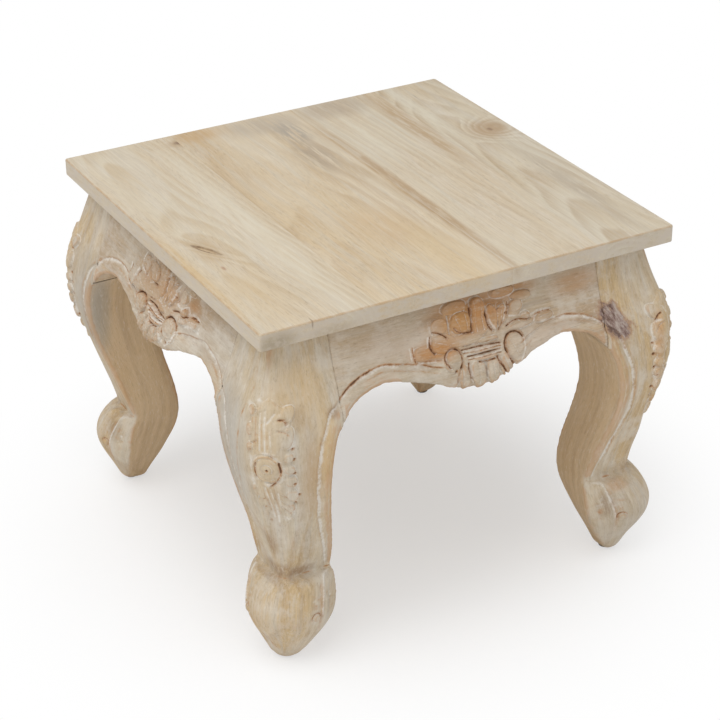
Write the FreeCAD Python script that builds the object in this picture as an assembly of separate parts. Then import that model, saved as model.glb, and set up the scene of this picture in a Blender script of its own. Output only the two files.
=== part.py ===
import FreeCAD, Part
import math
import os
from FreeCAD import Vector

# Carved coffee table with a four-board top, swelled aprons and cabriole legs with scroll feet.
# Millimetres, +Z up. The origin is on the floor, under the middle of the top.
# The front of the table faces -Y.

# Whole table, with its sides and corners named in the order of quarter turns about the middle
SIDE_NAMES = ("front", "right", "back", "left")
CORNER_NAMES = ("front_right", "back_right", "back_left", "front_left")
TABLE_HEIGHT = 380.0
TOP_SIDE = 450.0
TOP_THICKNESS = 18.0
TOP_OVERHANG = 21.0
CUT_OVERRUN = 5.0
FIT_GAP = 0.2

# Top: boards of uneven width, side by side along X, with dowels across each glue line
BOARD_NAMES = ("top_board_left", "top_board_mid_left", "top_board_mid_right", "top_board_right")
BOARD_WIDTH_SHARES = (0.267, 0.322, 0.233, 0.178)
TOP_CORNER_RADIUS = 3.0
TOP_ARRIS_RADIUS = 1.6
BOARD_DOWEL_DIAMETER = 8.0
BOARD_DOWEL_LENGTH = 40.0
BOARD_DOWEL_PLACE_SHARES = (-0.4, 0.0, 0.4)

# Frame: the face of aprons and legs swells out from the top to the knee and falls in to the ankle
FRAME_SWELL = 33.0
KNEE_DEPTH = 122.0
ANKLE_HEIGHT = 97.0
ANKLE_TO_KNEE_SHARES = (
    (0.0, -0.08), (0.196, 0.15), (0.371, 0.37), (0.545, 0.63), (0.72, 0.848), (0.895, 0.97),
)
KNEE_TO_TOP_SHARES = (
    (0.082, 0.994), (0.287, 0.894), (0.451, 0.712), (0.639, 0.424), (0.861, 0.136), (1.0, 0.0),
)

# Aprons: flat at the back, arched below, with a drop at the middle
APRON_TOP_THICKNESS = 18.0
APRON_END_DEPTH = 92.0
ARCH_DEPTH = 66.5
APRON_DROP_DEPTH = 90.5
ARCH_CROWN_SHARE = 0.663
END_TO_CROWN_SHARES = ((0.952, 0.353), (0.891, 0.647), (0.803, 0.863))
CROWN_TO_DROP_SHARES = ((0.537, 0.155), (0.333, 0.533), (0.143, 0.91))
TENON_LENGTH = 25.0
TENON_THICKNESS = 10.0
TENON_HEIGHT = 50.0
TENON_BACK_SHOULDER = 4.0
TENON_TOP_SHOULDER = 17.0

# Legs: square in section, the inner faces hollowed below the post, the outer corner sawn flat
POST_WIDTH = 57.0
KNEE_HOLLOW = 16.0
ANKLE_HOLLOW = 2.3
INNER_FACE_SHARES = (
    (0.919, 0.4375), (0.803, 0.78), (0.636, 1.0), (0.451, 0.825), (0.306, 0.53), (0.162, 0.25),
)
CORNER_SWELL = 27.5
CORNER_ANKLE_FALL = 5.5
ANKLE_TO_KNEE_CORNER_SHARES = (
    (0.0, 0.0), (0.175, 0.106), (0.378, 0.348), (0.608, 0.545), (0.832, 0.864), (0.958, 0.97),
)
KNEE_TO_TOP_CORNER_SHARES = (
    (0.197, 1.0), (0.418, 0.855), (0.639, 0.527), (0.82, 0.237), (1.0, 0.0),
)

# Scroll feet: level sections with a rounded shield in front and a keel behind, down to a small toe.
# Each row gives height, reach of the shield, set-back of the side corners, width and hollow of the keel.
FOOT_REACH = 20.5
FOOT_DEPTH = 40.0
FOOT_HALF_WIDTH = 45.0
TOE_HOLLOW = 38.5
FOOT_SECTION_SHARES = (
    (0.0, -0.463, 0.51, 0.2, 0.9),
    (0.074, -0.2, 0.44, 0.37, 0.8),
    (0.202, 0.08, 0.54, 0.57, 0.68),
    (0.351, 0.45, 0.66, 0.775, 0.515),
    (0.5, 0.83, 0.775, 0.935, 0.365),
    (0.628, 1.0, 0.84, 1.0, 0.235),
    (0.766, 0.854, 0.89, 0.99, 0.108),
    (0.904, 0.415, 0.96, 0.933, 0.028),
    (1.0, -0.22, 1.0, 0.85, 0.0),
)
SHIELD_ANGLES = (-90, -60, -30, 0, 30, 60, 90)

# Glides: a domed steel head on a nail, under each toe
GLIDE_HEIGHT = 1.6
GLIDE_DIAMETER = 13.0
GLIDE_EDGE_RADIUS = 1.5
GLIDE_NAIL_DIAMETER = 2.6
GLIDE_NAIL_LENGTH = 14.0

# Corner braces: mitred bars behind the legs, seated on a flat cut on the inner corner of the post
BRACE_HEIGHT = 35.0
BRACE_THICKNESS = 22.0
POST_FLAT_DEPTH = 10.0

# Screws: shank, head and how deep each one bites into the far piece
APRON_SCREW_DIAMETER = 4.0
APRON_SCREW_HEAD_DIAMETER = 8.0
APRON_SCREW_HEAD_HEIGHT = 2.5
APRON_SCREW_SEAT = 11.0
APRON_SCREW_BITE = 14.0
APRON_SCREW_PLACE_SHARE = 0.55
LEG_SCREW_DIAMETER = 6.0
LEG_SCREW_HEAD_DIAMETER = 12.0
LEG_SCREW_HEAD_HEIGHT = 4.0
LEG_SCREW_BITE = 38.0
TOP_SCREW_DIAMETER = 4.0
TOP_SCREW_HEAD_DIAMETER = 8.0
TOP_SCREW_HEAD_HEIGHT = 2.5
TOP_SCREW_BITE = 12.0
TOP_SCREW_SPREAD = 22.0

# Places worked out from the sizes above
DIAGONAL = math.sqrt(2)
QUARTER_TURNS = (0, 90, 180, 270)
EIGHTH_TURN = 45
UP = Vector(0, 0, 1)
ORIGIN = Vector(0, 0, 0)
FRAME_TOP = TABLE_HEIGHT - TOP_THICKNESS
FRAME_HALF = TOP_SIDE / 2 - TOP_OVERHANG
SWELL_HALF = FRAME_HALF + FRAME_SWELL
KNEE_HEIGHT = FRAME_TOP - KNEE_DEPTH
JOINT_HALF = FRAME_HALF - POST_WIDTH
JOINT_HEIGHT = FRAME_TOP - APRON_END_DEPTH
APRON_BACK = FRAME_HALF - APRON_TOP_THICKNESS
BRACE_BOTTOM = FRAME_TOP - BRACE_HEIGHT
BRACE_MIDDLE = FRAME_TOP - BRACE_HEIGHT / 2
BRACE_OUT = JOINT_HALF * DIAGONAL + POST_FLAT_DEPTH
BRACE_IN = BRACE_OUT - BRACE_THICKNESS
CORNER_TOP = FRAME_HALF * DIAGONAL
FOOT_HEIGHT = ANKLE_HEIGHT - GLIDE_HEIGHT


# Views in which the outlines are drawn: u outward or across, z up
def from_front(u, z):
    return Vector(u, 0, z)


def from_side(u, z):
    return Vector(0, -u, z)


def on_diagonal(u, z):
    return Vector(u / DIAGONAL, -u / DIAGONAL, z)


def across_diagonal(u, z):
    return Vector(u / DIAGONAL, u / DIAGONAL, z)


def between(low, high, share):
    return low + (high - low) * share


def curve(points):
    spline = Part.BSplineCurve()
    spline.interpolate(points)
    return spline.toShape()


def run(*points):
    return [Part.makeLine(start, end) for start, end in zip(points[:-1], points[1:])]


def prism(edges, direction):
    ordered = Part.__sortEdges__(edges)
    return Part.Face(Part.Wire(ordered)).extrude(direction)


def drill(start, direction, length, diameter):
    return Part.makeCylinder(diameter / 2, length, start, direction)


def turned(shape, angle):
    copy = shape.copy()
    copy.rotate(ORIGIN, UP, angle)
    return copy


def face_points():
    points = [
        (FRAME_HALF + FRAME_SWELL * swell, between(ANKLE_HEIGHT, KNEE_HEIGHT, rise))
        for rise, swell in ANKLE_TO_KNEE_SHARES
    ]
    points.append((SWELL_HALF, KNEE_HEIGHT))
    points += [
        (FRAME_HALF + FRAME_SWELL * swell, between(KNEE_HEIGHT, FRAME_TOP, rise))
        for rise, swell in KNEE_TO_TOP_SHARES
    ]
    return points


# One screw, its head behind the start point and its shank ahead of it
def screw(start, direction, length, diameter, head_diameter, head_height):
    shank = drill(start, direction, length, diameter)
    head = drill(start - direction * head_height, direction, head_height, head_diameter)
    return shank.fuse(head).removeSplitter()


def screw_hole(start, direction, length, diameter):
    return drill(start, direction, length + FIT_GAP, diameter + FIT_GAP * 2)


# Screw places in the front right corner. Each entry is start, direction and length.
def apron_screw_places():
    inner_end = BRACE_IN * DIAGONAL - APRON_BACK
    outer_end = BRACE_OUT * DIAGONAL - APRON_BACK
    place = between(inner_end, outer_end, APRON_SCREW_PLACE_SHARE)
    seat = APRON_BACK - APRON_SCREW_SEAT
    length = APRON_SCREW_SEAT + APRON_SCREW_BITE
    return [
        (Vector(place, -seat, BRACE_MIDDLE), Vector(0, -1, 0), length),
        (Vector(seat, -place, BRACE_MIDDLE), Vector(1, 0, 0), length),
    ]


def leg_screw_place():
    return on_diagonal(BRACE_IN, BRACE_MIDDLE), on_diagonal(1, 0), BRACE_THICKNESS + LEG_SCREW_BITE


def top_screw_places():
    middle = on_diagonal((BRACE_IN + BRACE_OUT) / 2, BRACE_BOTTOM)
    length = BRACE_HEIGHT + TOP_SCREW_BITE
    return [(middle + across_diagonal(side * TOP_SCREW_SPREAD, 0), UP, length) for side in (-1, 1)]


# Four-board top, its outer arrises and corners eased
def board_edges():
    edges = [-TOP_SIDE / 2]
    for share in BOARD_WIDTH_SHARES[:-1]:
        edges.append(edges[-1] + TOP_SIDE * share)
    edges.append(TOP_SIDE / 2)
    return edges


def board_dowels(diameter, length):
    middle = FRAME_TOP + TOP_THICKNESS / 2
    dowels = []
    for joint in board_edges()[1:-1]:
        for share in BOARD_DOWEL_PLACE_SHARES:
            start = Vector(joint - length / 2, TOP_SIDE * share, middle)
            dowels.append(drill(start, Vector(1, 0, 0), length, diameter))
    return dowels


def make_boards():
    half = TOP_SIDE / 2
    slab = Part.makeBox(TOP_SIDE, TOP_SIDE, TOP_THICKNESS, Vector(-half, -half, FRAME_TOP))
    uprights = [edge for edge in slab.Edges if edge.BoundBox.ZLength > TOP_ARRIS_RADIUS]
    slab = slab.makeFillet(TOP_CORNER_RADIUS, uprights)
    arrises = [edge for edge in slab.Edges if edge.BoundBox.ZLength < TOP_ARRIS_RADIUS]
    slab = slab.makeFillet(TOP_ARRIS_RADIUS, arrises)
    holes = board_dowels(BOARD_DOWEL_DIAMETER + FIT_GAP * 2, BOARD_DOWEL_LENGTH + FIT_GAP * 2)
    for angle in QUARTER_TURNS:
        holes += [turned(screw_hole(*place, TOP_SCREW_DIAMETER), angle) for place in top_screw_places()]
    slab = slab.cut(Part.makeCompound(holes))
    edges = board_edges()
    boards = {}
    for name, left, right in zip(BOARD_NAMES, edges[:-1], edges[1:]):
        span = Part.makeBox(right - left, TOP_SIDE, TOP_THICKNESS, Vector(left, -half, FRAME_TOP))
        boards[name] = slab.common(span)
    return boards


# Front apron: the swelled section run along X, then sawn to the arched outline
def apron_lower_edge():
    crown = FRAME_TOP - ARCH_DEPTH
    drop = FRAME_TOP - APRON_DROP_DEPTH
    right = [(JOINT_HALF, JOINT_HEIGHT)]
    right += [(JOINT_HALF * out, between(JOINT_HEIGHT, crown, rise)) for out, rise in END_TO_CROWN_SHARES]
    right.append((JOINT_HALF * ARCH_CROWN_SHARE, crown))
    right += [(JOINT_HALF * out, between(crown, drop, fall)) for out, fall in CROWN_TO_DROP_SHARES]
    left = [(-x, z) for x, z in reversed(right)]
    return right + [(0, drop)] + left


def tenon(gap):
    size = Vector(TENON_LENGTH + gap, TENON_THICKNESS + gap * 2, TENON_HEIGHT + gap * 2)
    front = APRON_BACK + TENON_BACK_SHOULDER + TENON_THICKNESS + gap
    bottom = FRAME_TOP - TENON_TOP_SHOULDER - TENON_HEIGHT - gap
    return Part.makeBox(size.x, size.y, size.z, Vector(JOINT_HALF, -front, bottom))


def make_apron():
    face = [from_side(out, z) for out, z in face_points()]
    back = [from_side(APRON_BACK, ANKLE_HEIGHT), from_side(APRON_BACK, FRAME_TOP)]
    section = [curve(face)] + run(face[-1], back[1], back[0], face[0])
    swelled = prism(section, Vector(JOINT_HALF * 2, 0, 0))
    swelled.translate(Vector(-JOINT_HALF, 0, 0))
    lower = [from_front(x, z) for x, z in apron_lower_edge()]
    top_right = from_front(JOINT_HALF, FRAME_TOP)
    top_left = from_front(-JOINT_HALF, FRAME_TOP)
    outline = [curve(lower)] + run(lower[-1], top_left, top_right, lower[0])
    apron = swelled.common(prism(outline, Vector(0, -SWELL_HALF - CUT_OVERRUN, 0)))
    right_tenon = tenon(0)
    left_tenon = right_tenon.mirror(ORIGIN, Vector(1, 0, 0))
    apron = apron.fuse([right_tenon, left_tenon]).removeSplitter()
    start, direction, length = apron_screw_places()[0]
    right_hole = screw_hole(start, direction, length, APRON_SCREW_DIAMETER)
    left_hole = right_hole.mirror(ORIGIN, Vector(1, 0, 0))
    return apron.cut([right_hole, left_hole])


# Front right leg: the same outline sawn from the front and from the side, then the outer corner
def leg_side_outline(view):
    face = [view(out, z) for out, z in face_points()]
    inner = [(JOINT_HALF, JOINT_HEIGHT)]
    inner += [
        (JOINT_HALF + KNEE_HOLLOW * hollow, between(ANKLE_HEIGHT, JOINT_HEIGHT, rise))
        for rise, hollow in INNER_FACE_SHARES
    ]
    inner.append((JOINT_HALF + ANKLE_HOLLOW, ANKLE_HEIGHT))
    inner = [view(out, z) for out, z in inner]
    post_top = view(JOINT_HALF, FRAME_TOP)
    return [curve(face), curve(inner)] + run(face[-1], post_top, inner[0]) + run(inner[-1], face[0])


def leg_corner_outline():
    ankle_corner = CORNER_TOP - CORNER_ANKLE_FALL
    knee_corner = CORNER_TOP + CORNER_SWELL
    corner = [
        (between(ankle_corner, knee_corner, swell), between(ANKLE_HEIGHT, KNEE_HEIGHT, rise))
        for rise, swell in ANKLE_TO_KNEE_CORNER_SHARES
    ]
    corner += [
        (CORNER_TOP + CORNER_SWELL * swell, between(KNEE_HEIGHT, FRAME_TOP, rise))
        for rise, swell in KNEE_TO_TOP_CORNER_SHARES
    ]
    corner = [on_diagonal(out, z) for out, z in corner]
    inside = [on_diagonal(JOINT_HALF, z) for z in (FRAME_TOP, ANKLE_HEIGHT)]
    return [curve(corner)] + run(corner[-1], *inside, corner[0])


def keel_reach(hollow_share):
    return (JOINT_HALF + between(ANKLE_HOLLOW, TOE_HOLLOW, hollow_share)) * DIAGONAL


def foot_section(rise, reach, set_back, width, hollow):
    z = GLIDE_HEIGHT + FOOT_HEIGHT * rise
    front = CORNER_TOP + FOOT_REACH * reach
    side = CORNER_TOP - FOOT_DEPTH * set_back
    shield = []
    for angle in SHIELD_ANGLES:
        turn = math.radians(angle)
        across = across_diagonal(FOOT_HALF_WIDTH * width * math.sin(turn), 0)
        shield.append(on_diagonal(between(side, front, math.cos(turn)), z) + across)
    keel = on_diagonal(keel_reach(hollow), z)
    return Part.Wire([curve(shield)] + run(shield[-1], keel, shield[0]))


def make_leg():
    leg = prism(leg_side_outline(from_front), Vector(0, -SWELL_HALF, 0))
    leg = leg.common(prism(leg_side_outline(from_side), Vector(SWELL_HALF, 0, 0)))
    corner = prism(leg_corner_outline(), across_diagonal(TOP_SIDE, 0))
    corner.translate(across_diagonal(-TOP_SIDE / 2, 0))
    foot = Part.makeLoft([foot_section(*shares) for shares in FOOT_SECTION_SHARES], True)
    leg = leg.common(corner).fuse(foot).removeSplitter()
    front_mortise = tenon(FIT_GAP)
    side_mortise = front_mortise.mirror(ORIGIN, Vector(1, 1, 0))
    flat = Part.makeBox(BRACE_OUT, POST_WIDTH * 2, BRACE_HEIGHT, Vector(0, -POST_WIDTH, BRACE_BOTTOM))
    flat.rotate(ORIGIN, UP, -EIGHTH_TURN)
    nail = screw_hole(on_diagonal(toe_middle(), GLIDE_HEIGHT), UP, GLIDE_NAIL_LENGTH, GLIDE_NAIL_DIAMETER)
    bolt = screw_hole(*leg_screw_place(), LEG_SCREW_DIAMETER)
    return leg.cut([front_mortise, side_mortise, flat, nail, bolt])


# Glide under the middle of the toe
def toe_middle():
    rise, reach, set_back, width, hollow = FOOT_SECTION_SHARES[0]
    front = CORNER_TOP + FOOT_REACH * reach
    return (front + keel_reach(hollow)) / 2


def make_glide():
    head = Part.makeCylinder(GLIDE_DIAMETER / 2, GLIDE_HEIGHT, on_diagonal(toe_middle(), 0))
    rim = [edge for edge in head.Edges if edge.BoundBox.ZMax < GLIDE_HEIGHT / 2]
    head = head.makeFillet(GLIDE_EDGE_RADIUS, rim)
    nail = drill(on_diagonal(toe_middle(), GLIDE_HEIGHT), UP, GLIDE_NAIL_LENGTH, GLIDE_NAIL_DIAMETER)
    return head.fuse(nail).removeSplitter()


# Corner brace between two aprons, drilled for its screws
def make_brace():
    ends = [(reach * DIAGONAL - APRON_BACK, APRON_BACK) for reach in (BRACE_OUT, BRACE_IN)]
    corners = [Vector(x, -y, BRACE_BOTTOM) for x, y in ends]
    corners += [Vector(y, -x, BRACE_BOTTOM) for x, y in reversed(ends)]
    brace = prism(run(*corners, corners[0]), UP * BRACE_HEIGHT)
    holes = [screw_hole(*leg_screw_place(), LEG_SCREW_DIAMETER)]
    holes += [screw_hole(*place, TOP_SCREW_DIAMETER) for place in top_screw_places()]
    for start, direction, length in apron_screw_places():
        holes.append(screw_hole(start, direction, length, APRON_SCREW_DIAMETER))
        pocket = drill(start, direction * -1, BRACE_THICKNESS, APRON_SCREW_HEAD_DIAMETER + FIT_GAP * 2)
        holes.append(pocket)
    return brace.cut(holes)


# Screws of one corner, and the same set turned to all four corners
def all_corners(shapes):
    return Part.makeCompound([turned(shape, angle) for angle in QUARTER_TURNS for shape in shapes])


def make_screws():
    to_apron = (APRON_SCREW_DIAMETER, APRON_SCREW_HEAD_DIAMETER, APRON_SCREW_HEAD_HEIGHT)
    to_leg = (LEG_SCREW_DIAMETER, LEG_SCREW_HEAD_DIAMETER, LEG_SCREW_HEAD_HEIGHT)
    to_top = (TOP_SCREW_DIAMETER, TOP_SCREW_HEAD_DIAMETER, TOP_SCREW_HEAD_HEIGHT)
    return {
        "apron_screws": all_corners([screw(*place, *to_apron) for place in apron_screw_places()]),
        "leg_screws": all_corners([screw(*leg_screw_place(), *to_leg)]),
        "top_screws": all_corners([screw(*place, *to_top) for place in top_screw_places()]),
    }


nodes = make_boards()
nodes["top_dowels"] = Part.makeCompound(board_dowels(BOARD_DOWEL_DIAMETER, BOARD_DOWEL_LENGTH))
apron = make_apron()
for side, angle in zip(SIDE_NAMES, QUARTER_TURNS):
    nodes["apron_" + side] = turned(apron, angle)
corner_pieces = {"leg_": make_leg(), "glide_": make_glide(), "corner_brace_": make_brace()}
for corner, angle in zip(CORNER_NAMES, QUARTER_TURNS):
    for kind, piece in corner_pieces.items():
        nodes[kind + corner] = turned(piece, angle)
nodes.update(make_screws())

os.makedirs("parts", exist_ok=True)
for name, shape in nodes.items():
    shape.exportStep("parts/" + name + ".step")
    print(name, len(shape.Solids), shape.isValid(), round(shape.Volume))
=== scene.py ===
import math
import bpy
import numpy as np
from mathutils import Matrix, Vector


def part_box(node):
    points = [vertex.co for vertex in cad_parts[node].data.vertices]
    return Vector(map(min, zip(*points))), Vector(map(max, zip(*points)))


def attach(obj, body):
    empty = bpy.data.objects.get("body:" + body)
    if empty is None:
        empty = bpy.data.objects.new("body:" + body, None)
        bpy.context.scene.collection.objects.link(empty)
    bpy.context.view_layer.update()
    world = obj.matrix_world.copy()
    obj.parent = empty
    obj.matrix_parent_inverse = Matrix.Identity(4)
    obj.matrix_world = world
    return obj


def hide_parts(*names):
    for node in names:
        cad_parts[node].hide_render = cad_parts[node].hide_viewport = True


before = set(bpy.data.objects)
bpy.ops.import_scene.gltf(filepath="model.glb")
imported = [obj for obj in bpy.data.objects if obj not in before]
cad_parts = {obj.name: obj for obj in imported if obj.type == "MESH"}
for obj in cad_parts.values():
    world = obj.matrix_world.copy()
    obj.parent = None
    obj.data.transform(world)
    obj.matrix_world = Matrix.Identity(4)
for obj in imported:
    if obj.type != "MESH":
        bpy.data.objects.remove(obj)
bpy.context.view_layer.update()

# Legs: four cabriole legs, each sawn from one post of pale hardwood and carved by hand.
# The knee carries a leafy ornament with a rosette, the inner edge a rolled bead, the foot a scroll.
# The wood is limed: white stays in the cuts, and rubbed ridges show the bare orange wood.
MM = 0.001
DIAGONAL = math.sqrt(2)
CORNER_TURNS = {"front_right": 0, "back_right": 90, "back_left": 180, "front_left": 270}
CARVING_STEP = 1.4 * MM
SAME_POINT = 0.01 * MM
SANDING_ROUNDS = 22
CREASE = math.radians(65)
FRAME_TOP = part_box("leg_front_right")[1].z / MM
JOINT_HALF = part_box("leg_front_right")[0].x / MM
ARCH_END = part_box("apron_front")[0].z / MM
ANKLE = 97.0
# How near a point must be to a joint, to an outer face or to the top to count as lying on it
ON_JOINT = 0.6
ON_FACE = 1.2
ON_TOP = 0.4


def make_active(piece):
    bpy.ops.object.select_all(action="DESELECT")
    piece.select_set(True)
    bpy.context.view_layer.objects.active = piece


def fresh(name, mesh):
    piece = bpy.data.objects.new(name, mesh.copy())
    bpy.context.scene.collection.objects.link(piece)
    make_active(piece)
    return piece


# The frame's meshes have a point for each face at a corner: this joins those that lie on each other
def merge_points():
    bpy.ops.object.mode_set(mode="EDIT")
    bpy.ops.mesh.select_all(action="SELECT")
    bpy.ops.mesh.remove_doubles(threshold=SAME_POINT)
    bpy.ops.object.mode_set(mode="OBJECT")


def apply_modifier(piece, kind, **settings):
    made = piece.modifiers.new(kind.lower(), kind)
    for key, value in settings.items():
        setattr(made, key, value)
    bpy.ops.object.modifier_apply(modifier=made.name)


# A blank for carving: the frame's own piece, merged, remeshed evenly and laid back on its faces
def carving_blank(node, name):
    piece = fresh(name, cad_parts[node].data)
    piece.data.materials.clear()
    merge_points()
    apply_modifier(piece, "REMESH", mode="VOXEL", voxel_size=CARVING_STEP)
    apply_modifier(piece, "SHRINKWRAP", target=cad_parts[node])
    return piece


# One row of values for each point, edge or face of a mesh
def read(items, what, width=3, kind=np.float64):
    flat = np.empty(len(items) * width, dtype=kind)
    items.foreach_get(what, flat)
    return flat.reshape(-1, width)


def read_points(piece, what="co"):
    return read(piece.data.vertices, what)


def move_points(piece, points):
    piece.data.vertices.foreach_set("co", (points * MM).ravel())
    piece.data.update()


def read_edges(piece):
    return read(piece.data.edges, "vertices", 2, np.int32)


# Mean of each point's neighbours
def neighbours(values, edges):
    ends = np.concatenate((edges[:, 0], edges[:, 1]))
    others = np.concatenate((edges[:, 1], edges[:, 0]))
    count = np.bincount(ends, minlength=len(values))
    columns = values.reshape(len(values), -1)
    sums = [np.bincount(ends, column[others], minlength=len(values)) for column in columns.T]
    means = np.stack(sums, axis=1) / np.maximum(count, 1)[:, None]
    return np.where(count[:, None] > 0, means, columns).reshape(values.shape)


# Sanded edges: each round of sanding pulls the free points half way to their neighbours on the open faces
def sand(piece, free, hidden):
    points = read_points(piece) / MM
    edges = read_edges(piece)
    edges = edges[~(hidden[edges[:, 0]] | hidden[edges[:, 1]])]
    for _ in range(SANDING_ROUNDS):
        points += (neighbours(points, edges) - points) * free * 0.5
    move_points(piece, points)


# A finer mesh where the chisel works: wanted says which face centres lie there
def refine(piece, wanted):
    make_active(piece)
    bpy.ops.object.mode_set(mode="EDIT")
    bpy.ops.mesh.select_mode(type="FACE")
    bpy.ops.mesh.select_all(action="DESELECT")
    bpy.ops.object.mode_set(mode="OBJECT")
    faces = piece.data.polygons
    faces.foreach_set("select", wanted(read(faces, "center") / MM))
    bpy.ops.object.mode_set(mode="EDIT")
    bpy.ops.mesh.subdivide(number_cuts=1)
    bpy.ops.object.mode_set(mode="OBJECT")


# A rise from 0 to 1 between two values, and a bell of a given width round 0
def step(value, low, high):
    share = np.clip((value - low) / (high - low), 0, 1)
    return share * share * (3 - 2 * share)


def bell(value, width):
    return np.exp(-((value / width) ** 2))


# A drawn line with its corners rounded off
def eased(path):
    for _ in range(2):
        softer = [path[0]]
        for (ua, va), (ub, vb) in zip(path[:-1], path[1:]):
            softer.append((0.75 * ua + 0.25 * ub, 0.75 * va + 0.25 * vb))
            softer.append((0.25 * ua + 0.75 * ub, 0.25 * va + 0.75 * vb))
        path = softer + [path[-1]]
    return path


# Distance in a plane from points (u, v) to a run of straight pieces
def reach(u, v, path):
    best = np.full(np.shape(u), 1e9)
    for (ua, va), (ub, vb) in zip(path[:-1], path[1:]):
        du, dv = ub - ua, vb - va
        along = np.clip(((u - ua) * du + (v - va) * dv) / (du * du + dv * dv + 1e-9), 0, 1)
        best = np.minimum(best, np.hypot(u - ua - along * du, v - va - along * dv))
    return best


def arc(centre, radii, start, end, count=14):
    turns = np.radians(np.linspace(start, end, count))
    return [(centre[0] + radii[0] * math.cos(t), centre[1] + radii[1] * math.sin(t)) for t in turns]


# Raised round: a low pillow with steep sides
def pillow(u, v, centre, radii, turn, rise, dome, side=1.4):
    spin = math.radians(turn)
    p = (u - centre[0]) * math.cos(spin) + (v - centre[1]) * math.sin(spin)
    q = (v - centre[1]) * math.cos(spin) - (u - centre[0]) * math.sin(spin)
    ring = (np.abs(p / radii[0]) ** 2.4 + np.abs(q / radii[1]) ** 2.4) ** (1 / 2.4)
    inside = (1 - ring) * min(radii)
    return step(inside, 0, side) * rise + np.clip(1 - ring**2, 0, 1) * dome


# Raised leaf from its root to its tip, with an optional rib cut along the middle
def leaf(u, v, root, tip, width, rise, dome, rib=0.0, side=1.4):
    length = math.hypot(tip[0] - root[0], tip[1] - root[1])
    along_u, along_v = (tip[0] - root[0]) / length, (tip[1] - root[1]) / length
    share = ((u - root[0]) * along_u + (v - root[1]) * along_v) / length
    across = (v - root[1]) * along_u - (u - root[0]) * along_v
    half = width / 2 * np.sin(math.pi * np.clip(share, 0, 1) ** 0.7) ** 0.7
    inside = np.where((share > 0) & (share < 1), half - np.abs(across), 0)
    body = step(inside, 0, side) * rise + np.clip(inside / (width / 2), 0, 1) ** 0.7 * dome
    return body - rib * bell(across, 0.9) * step(inside, 0, side)


# A chisel line of uneven width: the groove, and its dark bottom, which is painted shade with some brown dirt
def chased(u, v, path, width):
    away = reach(u, v, eased(path) if len(path) > 2 else path) * (1 + 0.3 * chisel(u, v, 5.0, 1.0))
    return bell(away, width), bell(away, 0.65 * width)


def spot(u, v, centre, radii):
    return np.exp(-(((u - centre[0]) / radii[0]) ** 2) - ((v - centre[1]) / radii[1]) ** 2)


# A chisel line or a drilled hole cut into an ornament, with its bottom painted dark: painted shade with some
# brown dirt
def cut(plate, dark, u, v, path, width, depth, shade):
    groove, line = chased(u, v, path, width)
    plate -= groove * depth
    np.maximum(dark, line * shade, out=dark)


def drill(plate, dark, u, v, hole, radius, shade):
    drilled = spot(u, v, hole, (radius, radius))
    plate -= drilled * HOLE_DEPTH
    np.maximum(dark, drilled * shade, out=dark)


# The unsteady hand: places drift by a fraction of a millimetre
def wander(u, v, size, amount, phase):
    du = np.sin(u / size + 1.7 * phase + 1.3 * np.sin(v / size * 0.8 + phase))
    dv = np.sin(v / size * 1.1 + 2.9 * phase + 1.1 * np.sin(u / size * 0.9 + 2 * phase))
    return u + amount * du, v + amount * dv


# Tool marks: an uneven ripple between -1 and 1
def chisel(u, v, size, phase):
    a, b = u / size, v / size
    broad = np.sin(a + 2.1 * np.sin(0.7 * b + phase)) * np.sin(1.3 * b + 1.7 * np.sin(0.6 * a + 2 * phase))
    fine = np.sin(2.3 * a + 1.3 * phase + 1.9 * np.sin(1.9 * b)) * np.sin(2.7 * b + phase)
    return 0.65 * broad + 0.35 * fine


# Knee ornament: n runs across the knee, z up
KNEE_CENTRE = 4.0
KNEE_RISE = 1.9
GROUND_DEPTH = 1.2
SLOT_DEPTH = 2.2
HOLE_DEPTH = 1.8
HOLE_RADIUS = 1.3
ROSETTE = (2.0, 242.0)
ROSETTE_RADII = (15.5, 16.5)
ROSETTE_RINGS = (((11.6, 12.2), 30, 1.2, 1.2), ((5.4, 5.6), 20, 0.9, 1.0))
KNEE_HALF_WIDTHS = (
    (168, 0), (172, 6), (178, 11), (188, 15), (202, 17.5), (225, 19), (243, 20), (258, 20), (275, 19),
    (290, 16.5), (300, 11), (306, 6), (311, 0),
)
KNEE_LEAVES = (
    ((2, 256), (3, 312), 15, 0.9, 0.0), ((2, 228), (3, 168), 13, 0.9, 0.0),
    ((10, 256), (15, 303), 12, 1.0, 0.0), ((-7, 258), (-9, 300), 9, 0.8, 0.6),
    ((10, 226), (16, 178), 12, 0.9, 0.0), ((-7, 228), (-9, 174), 9, 0.8, 0.0),
)
KNEE_LOBES = (
    ((17.5, 294), (5.5, 8)), ((19.5, 273), (5.5, 10)), ((21.5, 255), (4, 5)), ((21.5, 242), (4, 5)),
    ((21, 229), (4.5, 6)), ((20, 214), (4.5, 7)), ((17, 199), (4.5, 6)), ((13, 185), (4.5, 6)),
    ((-11, 297), (3.5, 5)), ((-13, 280), (3.5, 6)), ((-13.5, 264), (3, 5)), ((-13, 216), (3, 7)),
    ((-12, 200), (3, 6)), ((-9, 186), (3, 6)),
)
KNEE_FLUTES = (
    ((-8.2, 264), (-7, 292)), ((-6.3, 262), (-5.6, 276)), ((-1.5, 260), (-1.2, 286)),
    ((4, 264), (4.4, 280)), ((-0.5, 219), (0.5, 180)), ((5.5, 219), (5.5, 186)), ((-5.5, 217), (-4, 190)),
)
KNEE_WHITE_LINES = (
    ((-4.3, 261), (-3, 297)), ((1.3, 260), (1.4, 299)), ((4, 288), (9, 297)), ((7.5, 262), (7, 276)),
    ((-3, 219), (-1.8, 180)), ((2.6, 219), (3, 176)), ((8.5, 216), (8, 196)),
)
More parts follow.
